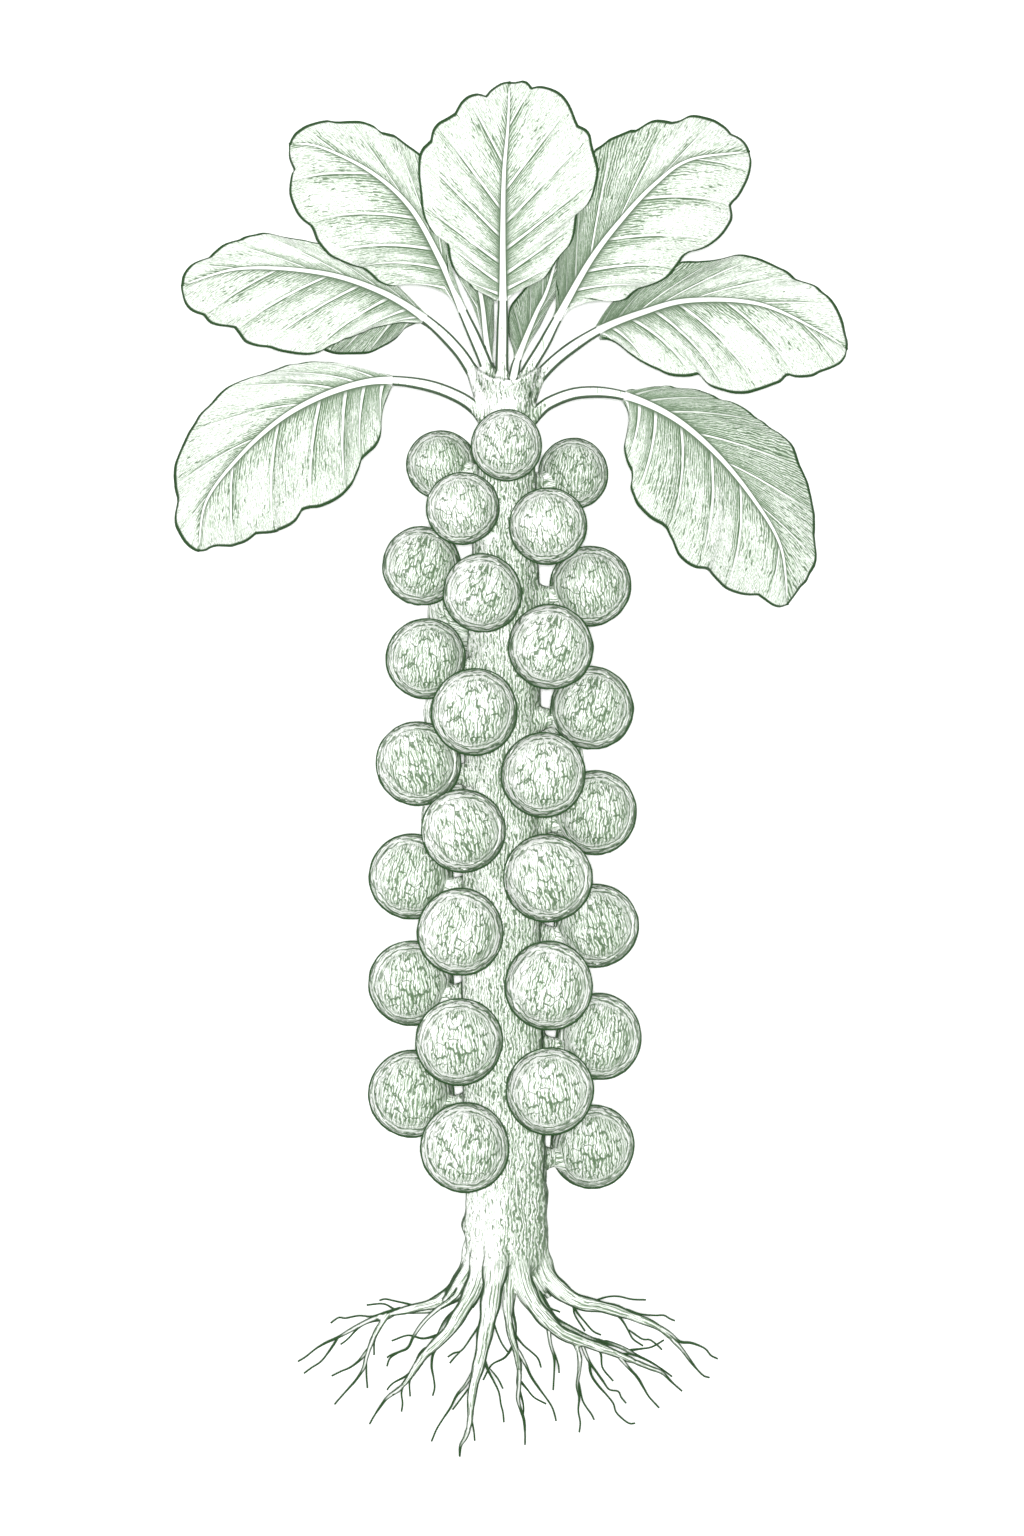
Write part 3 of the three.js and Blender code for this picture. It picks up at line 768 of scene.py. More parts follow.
@dataclass(frozen=True)
class FibreFinish:
    """A pale woody skin covered with wavy strokes, which stand upright on the stem and run
    lengthwise on the roots. They crowd as painted shade where it turns from the light and in
    hollows, and at random in soft patches. Dark lines of painted shade follow its edges, whole on
    the roots and uneven on the stem.

    "marks" holds how crowded the strokes are, mostly from painted shade, how dark a line of
    painted shade is, and whether the strokes follow "grain", which is millimetres around and
    along a root and a shift.
    """

    name: str = "fibrous skin"
    long_per_metre: tuple[float, float, float] = (620.0, 360.0, 360.0)
    short_per_metre: tuple[float, float, float] = (1050.0, 620.0, 620.0)
    bump_distance: float = 0.0006

    def material(self) -> Material:
        """The finish as a material."""
        w = Wiring(self.name)
        cover, line, on_root = w.parts("marks")
        around, along, shift = w.parts("grain")
        off_root = w.rest(on_root)
        patch = w.noise(w.stretched((1.0, 0.6, 1.0)), 75.0, 1.0)
        # Strokes crowd by the painted shade in cover, and at random in soft patches.
        crowd = w.plus(cover, w.times(w.ramp(patch, 0.35, 0.66), 0.22), -0.05)
        fine_crowd = w.plus(crowd, 0.10)
        upright = w.strokes(w.stretched(self.long_per_metre), crowd, 0.30, 3.2)
        short = w.strokes(w.stretched(self.short_per_metre), fine_crowd, 0.36, 3.0)
        root_long = w.strokes(w.vector((around, 0.62), (along, 0.16), shift), crowd, 0.28, 2.0)
        root_short = w.strokes(w.vector((around, 1.15), (along, 0.34), shift), fine_crowd,
                               0.34, 2.0)
        long_strokes = w.plus(w.times(upright, off_root), w.times(root_long, on_root))
        fine_strokes = w.plus(w.times(short, off_root), w.times(root_short, on_root))
        uneven = w.ramp(w.noise(w.stretched((1.0, 0.35, 1.0)), 420.0, 1.0), 0.56, 0.44)
        line_seen = w.times(line, w.math("MAXIMUM", on_root, w.slope(uneven, 0.45, 0.55)))
        body = w.mix(w.times(fine_strokes, 0.85), PALETTE.white, PALETTE.soft)
        body = w.mix(w.times(long_strokes, 0.88), body, w.ink(0.22))
        body = w.mix(line_seen, body, PALETTE.line)
        relief = w.plus(w.times(long_strokes, -0.8), w.times(fine_strokes, -0.5),
                        w.times(patch, 0.6))
        w.bump(relief, 0.5, self.bump_distance)
        return w.done(body, 0.7, 0.2)


@dataclass(frozen=True)
class FloorFinish:
    """A plain white matt floor with the faintest mottle."""

    name: str = "pale floor"

    def material(self) -> Material:
        """The finish as a material."""
        w = Wiring(self.name)
        mottle = w.noise(w.place(), 6.0)
        return w.done(w.mix(mottle, colour(251, 252, 251), colour(254, 254, 254)), 0.9, 0.03)


# ------------------------ stem


# Height and radius of the stem, from its foot up.
STEM_PROFILE = (
    (14, 17.2), (20, 17.9), (30, 18.2), (40, 18.2), (58, 18.2), (76, 18.6), (96, 18.7),
    (115, 18.8), (138, 18.6), (162, 18.3), (186, 18.0), (210, 17.5), (235, 17.2), (260, 16.7),
    (286, 16.2), (312, 15.4), (338, 14.4), (362, 13.2), (384, 11.4), (396, 10.6), (402, 11.2),
)
# Height, azimuth from the front towards +x in degrees, how far it stands out, and its half height.
STEM_KNOBS = (
    (29, -88, 1.7, 5.0), (42, 86, 1.3, 6.0), (27, 90, 0.9, 4.0), (53, -82, 0.8, 5.0),
    (36, -20, 0.5, 6.0), (61, 76, 0.7, 5.0), (46, 150, 0.8, 6.0), (33, -150, 0.8, 5.0),
)
SKIN_RADIUS = 18.0
RIB_COUNT = 6


def stem_middle(height: Array | float) -> Array:
    """The middle of the stem at heights: it sways to and fro by one sine wave."""
    height = np.asarray(height, float)
    return vectors(-1.6 * np.sin(math.pi * (height - 30) / 330), height, 0.0)


def stem_knobs(height: Array, angle: Array) -> Array:
    """How far the knobs near the stem's foot stand out: round hills on its skin."""
    total = np.zeros(np.broadcast(height, angle).shape)
    for at, azimuth, rise, size in STEM_KNOBS:
        facing = np.maximum(np.cos(angle - math.radians(azimuth)), 0.0) ** 3
        total += rise * np.exp(-(((height - at) / size) ** 2)) * facing
    return total


def stem_ribs(height: Array, angle: Array) -> Array:
    """The low upright ribs, from -1 to 1: a cosine round the stem that turns a little upwards."""
    return np.cos(RIB_COUNT * angle + 0.01 * height)


def stem_radius(height: Array, angle: Array) -> Array:
    """The stem's radius: its profile, ribs that die away at the tip, and knobs."""
    ribs = 0.4 * stem_ribs(height, angle) * ramp(410 - height, 0, 30)
    return eased(STEM_PROFILE, height) + ribs + stem_knobs(height, angle)


def round_stem(heights: Array, radii: Array, angle: Array) -> Surface:
    """A capped skin of rings round the stem's middle line, one for each row of heights."""
    offset = vectors(np.sin(angle), 0.0, np.cos(angle))
    return capped(stem_middle(heights) + radii[..., None] * offset)


def knuckled(height: Array, angle: Array) -> Array:
    """Broad irregular swellings of the stem's skin, from -1 to 1."""
    return crinkle(angle * SKIN_RADIUS, height, 9.0, 5)


def stem_shade_line(normals: Array) -> Array:
    """Painted shade: how wide the dark line down each flank of the stem looks, wider at the right,
    away from the light.
    """
    return np.where(normals[:, 0] > 0, 1.15, 0.8)


@dataclass
class Stem:
    """The stem: a ribbed trunk that opens into a cup, melted together with the collars of the
    sprouts' necks and the feet of the leaf stalks, with a leaf scar under each sprout."""

    sprouts: list["Sprout"]
    leaves: list["Leaf"]
    voxel: float = 0.95
    relax_rounds: int = 4
    sides: int = 72
    foot_height: float = 14.0
    cup_height: float = 400.0
    cup_floor: float = 403.5
    lip_height: float = 408.0
    lip_climb: float = 6.5
    lip_radius: float = 15.0
    lip_half_thickness: float = 0.9
    scar_half_width: float = 6.5
    scar_half_height: float = 2.9
    scar_drop: float = 12.5
    line_above: float = 404.0

    def trunk(self) -> Surface:
        """The trunk's rings up to the cup, then the cup's outer wall, lip, inner wall and floor.

        The lip stands highest at the sides, by the squared sine of the azimuth.
        """
        thickness = self.lip_half_thickness
        angle = round_angles(self.sides)
        heights = np.linspace(self.foot_height, self.cup_height, 150)[:, None]
        radius = stem_radius(heights, angle)
        lip = self.lip_height + self.lip_climb * np.sin(angle) ** 2
        wall = np.linspace(0, 1, 14)[1:, None]
        outer = radius[-1:] + (self.lip_radius - radius[-1:]) * wall**1.1
        over = np.linspace(0, math.pi, 6)[1:, None]
        down = np.linspace(0, 1, 8)[1:, None]
        inner = (self.lip_radius - 2 * thickness) * (1 - down**1.8) + 0.2
        grid_heights = np.vstack([
            heights + 0 * angle,
            self.cup_height + (lip - self.cup_height) * wall,
            lip + thickness * np.sin(over),
            lip + (self.cup_floor - lip) * down**0.8])
        grid_radii = np.vstack([
            radius,
            outer,
            self.lip_radius - thickness + thickness * np.cos(over) + 0 * lip,
            inner + 0 * angle])
        return round_stem(grid_heights, grid_radii, angle)

    def stalk_foot(self, leaf: "Leaf") -> Surface:
        """A leaf stalk's foot: a tube down its first stretch into the stem, wider at the stem."""
        share = np.linspace(0, 1, 14)
        narrowing = (leaf.foot_size - 1.3) * ramp(share, 0.05, 0.95)
        points = spline(leaf.line, np.linspace(0.0, leaf.join * 0.66, 14))
        return tube(points, (leaf.foot_size - narrowing) * leaf.stalk_size, 16)

    def collar(self, sprout: "Sprout") -> Surface:
        """The swelling of the stem where a sprout's neck leaves it."""
        share = np.linspace(0, 1, 7)
        points = sprout.neck_foot + (sprout.neck_head - sprout.neck_foot) * share[:, None] * 0.6
        return tube(points, 6.8 - 2.2 * ramp(share, 0, 0.9), 16)

    def scars(self, height: Array, angle: Array) -> tuple[Array, Array]:
        """Leaf scars, each a half moon below its sprout: a low rim where the distance in half
        sizes is near one, a shallow dish inside it.

        Args:
            height: the points' heights.
            angle: their azimuths.

        Returns:
            How far a scar raises each point, and how plain it leaves it.
        """
        rise = np.zeros_like(height)
        plain = np.zeros_like(height)
        for sprout in self.sprouts:
            turn = (angle - sprout.angle + math.pi) % TAU - math.pi
            across = turn * sprout.stem_radius / self.scar_half_width
            up = (height - sprout.height + self.scar_drop - 1.4 * across**2) / self.scar_half_height
            reach = np.sqrt(across**2 + up**2)
            rim = np.exp(-(((reach - 1.0) / 0.28) ** 2))
            dish = ramp(1.0 - reach, 0.0, 0.35)
            rise += 0.6 * rim - 0.3 * dish
            plain = np.maximum(plain, 0.4 * dish)
        return rise, plain

    def cover(self, skin: Skin, distance: Array, knuckles: Array, plain: Array) -> Array:
        """How far strokes cover the skin, from 0.

        They crowd as painted shade where it turns from the light, among the sprouts, in the hollows
        between knuckles, in the cup and under the stalks at the right, and leave the scars and the
        cup's foot plainer.

        Args:
            skin: the stem's skin.
            distance: how far each point is from the stem's middle.
            knuckles: how far knuckles stand out there.
            plain: how plain a scar leaves it.
        """
        height = skin.height
        # Painted shade among the sprouts, on the side turned from the light and in hollows between
        # knuckles.
        among = ramp(height, 38, 78) * ramp(self.cup_height - height, 0, 14)
        cover = 0.30 + 1.0 * painted_shade_turn(skin.normals) * (1 - 0.42 * among) + 0.22 * among
        cover += 0.12 * ramp(-knuckles, 0.2, 0.9) - 0.5 * plain
        cover *= 1 - 0.5 * ramp(height, 392, 400)
        # Painted shade in the cup, and painted shadow under the stalks at the right.
        cup_shade = ramp(height, 399, 408) * ramp(skin.front, 0, 3)
        cover += 0.5 * cup_shade * ramp(9 - distance, -8, 0)
        stalk_shadow = ramp(skin.across, 7, 12) * ramp(height, 386, 394)
        return cover + 0.5 * stalk_shadow * ramp(409 - height, 0, 5)

    def edges(self, skin: Skin, distance: Array) -> Array:
        """The dark lines: painted shade down both flanks of the trunk and the stalks, by the
        roundness there, and down the cup's sides, where the skin turns down from the light; and a
        line along its rim.

        Args:
            skin: the stem's skin.
            distance: how far each point is from the stem's middle.

        Returns:
            1 on a line and 0 off it.
        """
        height, upness, aside = skin.height, skin.normals[:, 2], np.abs(skin.across)
        on_stalk = (height > 384) & (distance > eased(STEM_PROFILE, height) + 2.0)
        size = np.where(on_stalk, 2.9 + 1.6 * ramp(23 - distance, 0, 6), distance)
        size = np.where((height > 396) & (aside > 10), np.minimum(size, 6.5), size)
        size = np.where(height > self.line_above, np.maximum(2.6, distance * 0.4), size)
        # Painted shade: dark strips down the flanks where the skin turns down, seen from above.
        line = flank(upness, size, stem_shade_line(skin.normals))
        at_cup = ramp(0.30 - upness, 0.0, 0.2) * ramp(distance, 10, 13)
        at_side = ramp(0.55 - upness, 0.0, 0.15) * ramp(distance, 15.0, 17.0)
        line *= np.where(height > self.line_above, np.maximum(at_cup, at_side), 1.0)
        rim = 409.4 + 0.0285 * skin.across**2
        at_rim = ramp(0.75 - np.abs(height - rim), 0.0, 0.4) * ramp(skin.front, 2, 5)
        return np.maximum(line, 0.8 * at_rim * ramp(16 - aside, 0, 3))

    def build(self, material: Material) -> bpy.types.Object:
        """Makes the piece in the place of the stem's node."""
        shells = [self.trunk()]
        shells += [self.collar(sprout) for sprout in self.sprouts]
        shells += [self.stalk_foot(leaf) for leaf in self.leaves]
        skin = Skin("stem_skin", shells, self.voxel, self.relax_rounds)
        height = skin.height
        off_middle = skin.across - stem_middle(height)[:, 0]
        angle = np.arctan2(off_middle, skin.front)
        distance = np.hypot(off_middle, skin.front)
        on_trunk = ramp(eased(STEM_PROFILE, height) + 3.0 - distance, 0.0, 2.0)
        on_trunk *= ramp(404 - height, 0, 6)
        rise, plain = self.scars(height, angle)
        grain = crinkle(angle * SKIN_RADIUS, height * 0.22, 5.0, 3)
        knuckles = knuckled(height, angle)
        foot = ramp(70 - height, 0, 50)
        move = on_trunk * (rise + 0.12 * grain) + (0.1 + 0.3 * foot) * knuckles * on_trunk
        cover = self.cover(skin, distance, knuckles, plain * on_trunk)
        marks = vectors(cover, self.edges(skin, distance), 0.0)
        skin.dress(move, marks, np.zeros_like(marks))
        return finished("stem_skin", skin.mesh, material, ("stem",))


# ------------------------ sprouts


class Rank(Enum):
    """The upright ranks of sprouts round the stem, with what their names end in."""

    TOP = "top"
    LEFT = "left"
    FRONT_LEFT = "front_left"
    FRONT_RIGHT = "front_right"
    RIGHT = "right"
    BACK_LEFT = "back_left"
    BACK_RIGHT = "back_right"


# Height, azimuth from the front towards +x in degrees, and radius, from the top down.
SHOWN_SPROUTS = {
    Rank.TOP: [(379, 0, 16.1)],
    Rank.LEFT: [(372, -117, 15.8), (326, -98, 18.0), (284, -62, 18.2), (237, -66, 19.2),
                (186, -104, 19.4), (138, -105, 19.4), (88, -106, 19.8)],
    Rank.FRONT_LEFT: [(351, -33, 16.5), (313, -15, 17.8), (260, -18, 19.6), (207, -25, 18.9),
                      (162, -26, 19.6), (113, -27, 19.7), (66, -24, 20.2)],
    Rank.FRONT_RIGHT: [(343, 31, 17.5), (289, 31, 19.2), (232, 26, 19.2), (186, 28, 20.0),
                       (138, 28, 20.0), (91, 28, 19.8)],
    Rank.RIGHT: [(368, 117, 16.1), (317, 95, 18.4), (262, 78, 18.9), (215, 94, 19.2),
                 (164, 98, 19.2), (114, 98, 19.6), (64, 112, 19.2)],
}
BUD_PATTERNS = 7
FAR_FROM_MARGIN = 50.0


def back_rank(beside: Rank, azimuth: float, above: list[tuple], below: float) -> list[tuple]:
    """A rank at the back: each sprout halfway between two of the rank beside it.

    Args:
        beside: the rank at that side.
        azimuth: where the new rank stands.
        above: sprouts that stand over it.
        below: twice the step down to one more sprout under the lowest, or 0 for none.

    Returns:
        Height, azimuth and radius of each sprout, from the top down.
    """
    row = SHOWN_SPROUTS[beside][1:]
    between = [((a[0] + b[0]) / 2, azimuth, (a[2] + b[2]) / 2 - 0.2) for a, b in zip(row, row[1:])]
    if below:
        between.append((row[-1][0] - below / 2, azimuth, row[-1][2] - 0.6))
    return above + between


@dataclass(frozen=True)
class Wrapper:
    """A wrapper leaf of a sprout: its radius, its thickness and how far its lip turns out, in
    shares of the ball's radius, how dark its margin is, and how many rows its outside has.

    Its margin is at a polar angle, in degrees, that is less by tilt towards the way that the
    bud's heading and turn_on give, and that swings as it goes round.
    """

    base: float
    thickness: float
    flare: float
    dark: float
    rows: int
    margin: float
    tilt: float = 0.0
    turn_on: float = 0.0
    swing: float = 3.5


# From the innermost, which shows on one side only, to the outermost.
WRAPPERS = (
    Wrapper(0.951, 0.020, 0.004, 0.6, 12, margin=68, tilt=20, turn_on=2.4),
    Wrapper(0.958, 0.022, 0.005, 0.75, 12, margin=73, tilt=12),
    Wrapper(0.982, 0.034, 0.020, 1.0, 20, margin=88, swing=1.0),
)


@dataclass
class Bud:
    """A template of one sprout at unit size, seen from the side that its third axis looks to: a
    ball of folded leaves in three wrapper leaves that cup it from behind, each inside the last.

    A wrapper ends in a free margin. The outermost ends at the ball's widest and turns out there
    in a thin lip. The buds of the hidden ranks have fewer columns.
    """

    seed: int
    columns: int = 68
    radius_mm: float = 19.0
    pole_tilt: float = 66.0
    circle: float = 5.0

    def wave(self, turn: Array, count: int, stream: int) -> Array:
        """A sine of so many waves to the turn, shifted the bud's own way."""
        return np.sin(count * turn + 6.3 * draw(self.seed, stream))

    def skin_values(self, way: Array, leaf: float) -> Array:
        """Millimetres across and along the leaf whose ribs climb to a pole near the top."""
        roll = math.radians(34 * (draw(self.seed, 4) - 0.5) + 9 * leaf)
        tilt = math.radians(self.pole_tilt + 14 * draw(self.seed, 6))
        pole = np.array([math.sin(roll) * math.sin(tilt), math.cos(roll) * math.sin(tilt),
                         math.cos(tilt)])
        side = unit(np.cross(pole, np.array([0.0, 0.0, 1.0])))
        front = np.cross(side, pole)
        fall = np.arccos(np.clip(way @ pole, -1, 1))
        turn = np.arctan2(way @ side, way @ front)
        return vectors(turn * np.sin(fall) ** 0.6 * self.radius_mm, fall * self.radius_mm,
                       leaf + 5.0 * self.seed)

    def relief(self, skin: Array, seed: int) -> Array:
        """Folds that run up the leaf, crossed by finer ones, in shares of the radius."""
        return (0.0105 * crinkle(skin[..., 0], 0.42 * skin[..., 1], 5.2, seed)
                + 0.006 * crinkle(skin[..., 0], 0.5 * skin[..., 1], 2.8, seed + 1))

    def ways(self, fall: Array, turn: Array) -> Array:
        """Unit vectors at a polar angle from the third axis and a turn round it from the top."""
        return vectors(np.sin(fall) * np.sin(turn), np.sin(fall) * np.cos(turn), np.cos(fall))

    def rim_values(self, way: Array) -> Array:
        """A point on a circle for the turn round the third axis, and the millimetres inside the
        ball's edge as seen along it: one less the sine of the polar angle, times the radius."""
        beside = np.hypot(way[..., 0], way[..., 1])
        x, y = (way[..., axis] / np.maximum(beside, 0.02) * self.circle for axis in (0, 1))
        return vectors(x, y, (1 - beside) * self.radius_mm)

    def swell(self, turn: Array) -> Array:
        """How far the ball is from round, as waves of two and three to the turn."""
        return 1 + 0.008 * self.wave(turn, 2, 15) + 0.006 * self.wave(turn, 3, 17)

    def heart(self) -> Surface:
        """The ball inside, with its poles at the front and the back."""
        fall = np.concatenate([np.linspace(0, 1.5, 29), [1.9, 2.5, math.pi]])[:, None]
        turn = round_angles(self.columns)[None]
        way = self.ways(fall, turn)
        skin = self.skin_values(way, 0.0)
        radius = 0.944 + self.relief(skin, 3 * self.seed) * ramp(2.0 - fall, 0, 0.4)
        radius = radius * self.swell(turn)
        return ring_skin(way * radius[..., None],
                         {"skin": skin, "rim": self.rim_values(way),
                          "edge": vectors(0 * radius, FAR_FROM_MARGIN, 0.0)})

    def wrapper(self, number: int) -> Surface:
        """One wrapper leaf as a thin closed shell: from the back pole out to the margin, over
        its edge and back inside."""
        leaf = WRAPPERS[number]
        turn = round_angles(self.columns)[None]
        swing = (0.6 * self.wave(turn, 2, number) + 0.4 * self.wave(turn, 5, number + 7)
                 + 0.25 * self.wave(turn, 9, number + 13))
        heading = TAU * draw(self.seed, 9)
        margin = np.radians(leaf.margin - leaf.tilt * np.cos(turn - heading - leaf.turn_on)
                            + leaf.swing * swing)
        back = math.pi - 0.02
        outer_share = 1 - np.linspace(1, 0, leaf.rows)[:, None] ** 1.5
        inner_share = np.array([0.0, 0.04, 0.12, 0.4, 1.0])[:, None]
        outer_fall = back + (margin - back) * outer_share
        inner_fall = margin + (back - margin) * inner_share
        fall = np.concatenate([outer_fall, inner_fall])
        way = self.ways(fall, turn)
        skin = self.skin_values(way, number + 1.0)
        from_margin = (fall - margin) * self.radius_mm
        lower_right = 0.5 + 0.5 * np.cos(turn - math.radians(140) - draw(self.seed, 19))
        rows = leaf.rows
        lip = np.exp(-((from_margin[:rows] / 0.9) ** 2)) * leaf.flare * (0.35 + 0.9 * lower_right)
        outer = leaf.base + 0.7 * self.relief(skin[:rows], 3 * self.seed + number + 1) + lip
        inner = leaf.base - leaf.thickness * (0.55 + 0.9 * lower_right) + 0 * inner_fall
        radius = np.concatenate([outer, inner]) * self.swell(turn)
        return capped(way * radius[..., None],
                      {"skin": skin, "rim": self.rim_values(way),
                       "edge": vectors(0.0, from_margin, leaf.dark)})

    def surface(self) -> Surface:
        """The whole template."""
        return Surface.joined([self.heart()] + [self.wrapper(i) for i in range(len(WRAPPERS))])


@dataclass
class Sprout:
    """One sprout in its place: where its ball, its neck and the foot of the neck are.

    The open side of its wrappers looks to the plant's front, or to its back where the sprout
    stands behind.
    """

    name: str
    height: float
    azimuth: float
    radius: float
    number: int
    neck_length: float = 5.0
    neck_drop: float = 5.0
    tilt: float = 0.35

    def __post_init__(self) -> None:
        """Works out which way it looks, the centre, the axis and the neck's ends."""
        self.angle = math.radians(self.azimuth)
        self.behind = abs(self.azimuth) > 130
        self.aside = abs(self.azimuth) > 50 and not self.behind
        self.stem_radius = eased(STEM_PROFILE, np.array([self.height]))[0]
        outward = np.array([math.sin(self.angle), 0, math.cos(self.angle)])
        reach = self.stem_radius + self.neck_length + self.radius
        self.centre = stem_middle(self.height) + outward * reach
        self.axis = unit(outward + np.array([0, self.tilt, 0]))
        foot = stem_middle(self.height - self.neck_drop)
        self.neck_foot = foot + outward * (self.stem_radius - 3.0)
        self.neck_head = self.centre - self.axis * self.radius * 0.72

    def neck(self) -> Surface:
        """The short neck: a tube that narrows from the stem and widens again under the ball."""
        share = np.linspace(0, 1, 9)
        points = self.neck_foot + (self.neck_head - self.neck_foot) * share[:, None]
        radii = 5.2 - 1.0 * np.sin(math.pi * share) + 2.4 * ramp(share, 0.55, 1.0)
        skin = tube(points, radii, 20)
        count = len(skin.points)
        skin.values = {"skin": skin.values["grain"],
                       "edge": np.tile([0.4, FAR_FROM_MARGIN, 0.0], (count, 1)),
                       "rim": np.tile([0.0, 0.0, FAR_FROM_MARGIN], (count, 1))}
        return skin

    def build(self, template: Surface, material: Material) -> bpy.types.Object:
        """Makes the piece in the place of its node, nodding a few degrees its own way.

        Strokes crowd as painted shade where the ball turns away from the light, as painted shadow
        near the stem, and most on the sprouts at the sides, which are painted as lying in shade.
        """
        nod, shake = (0.05 * (draw(self.number, stream) - 0.5) for stream in (1, 5))
        front = unit(np.array([shake, nod, -1.0 if self.behind else 1.0]))
        right = unit(np.cross(np.array([0, 1.0, 0]), front))
        turn = np.stack([right, np.cross(front, right), front])
        ball = Surface(template.points @ turn, template.faces,
                       {key: value.copy() for key, value in template.values.items()})
        ways = unit(ball.points)
        if self.behind:
            ways[:, 2] = np.abs(ways[:, 2])
        ball.points = ball.points * self.radius + self.centre
        from_stem = np.hypot(ball.points[:, 0] - stem_middle(self.height)[0], ball.points[:, 2])
        # Painted shadow near the stem, and painted shade over the whole of each sprout at the
        # sides.
        near = ramp(from_stem, 34, 18) * (0.40 if self.aside else 0.10)
        base = 0.52 if self.aside else 0.40
        ball.values["edge"][:, 0] = base + 0.54 * painted_shade_turn(ways) ** 1.5 + near
        whole = Surface.joined([ball, self.neck()])
        whole.points = raised(whole.points, FLOOR)
        mesh = fill_mesh(self.name, whole)
        tidy(mesh)
        return finished(self.name, mesh, material, (self.name.replace("_leaves", ""),))


def all_sprouts() -> list[Sprout]:
    """Every sprout, rank by rank, the two hidden ranks last."""
    ranks = dict(SHOWN_SPROUTS)
    ranks[Rank.BACK_LEFT] = back_rank(Rank.LEFT, -154, [(350, -176, 16.2)], 48)
    ranks[Rank.BACK_RIGHT] = back_rank(Rank.RIGHT, 154, [], 0)
    made = []
    for rank, row in ranks.items():
        for i, (height, azimuth, radius) in enumerate(row):
            name = f"sprout_{rank.value}_{i + 1}_leaves"
            made.append(Sprout(name, height, azimuth, radius, len(made)))
    return made


# ------------------------ leaves


@dataclass
class HalfRows:
    """One half of a leaf, one entry for each row from the stalk's foot to the tip.

    Middle, inner and outer are the rib's middle, its flank and the margin; along and up the
    rib's ways; rib its half width; share how far up the midrib a row starts; phase the vein that
    it is at; edge_share and lobe how far along the margin and through its lobe it ends. Side is
    1 at the left and -1 at the right, length the margin's, bend how far rows bow, and shade how
    much painted shadow darkens the half near its foot, up to reach along the margin.
    """

    side: int
    middle: Array
    inner: Array
    outer: Array
    along: Array
    up: Array
    rib: Array
    share: Array
    phase: Array
    edge_share: Array
    lobe: Array
    length: float
    bend: float
    shade: float
    reach: float


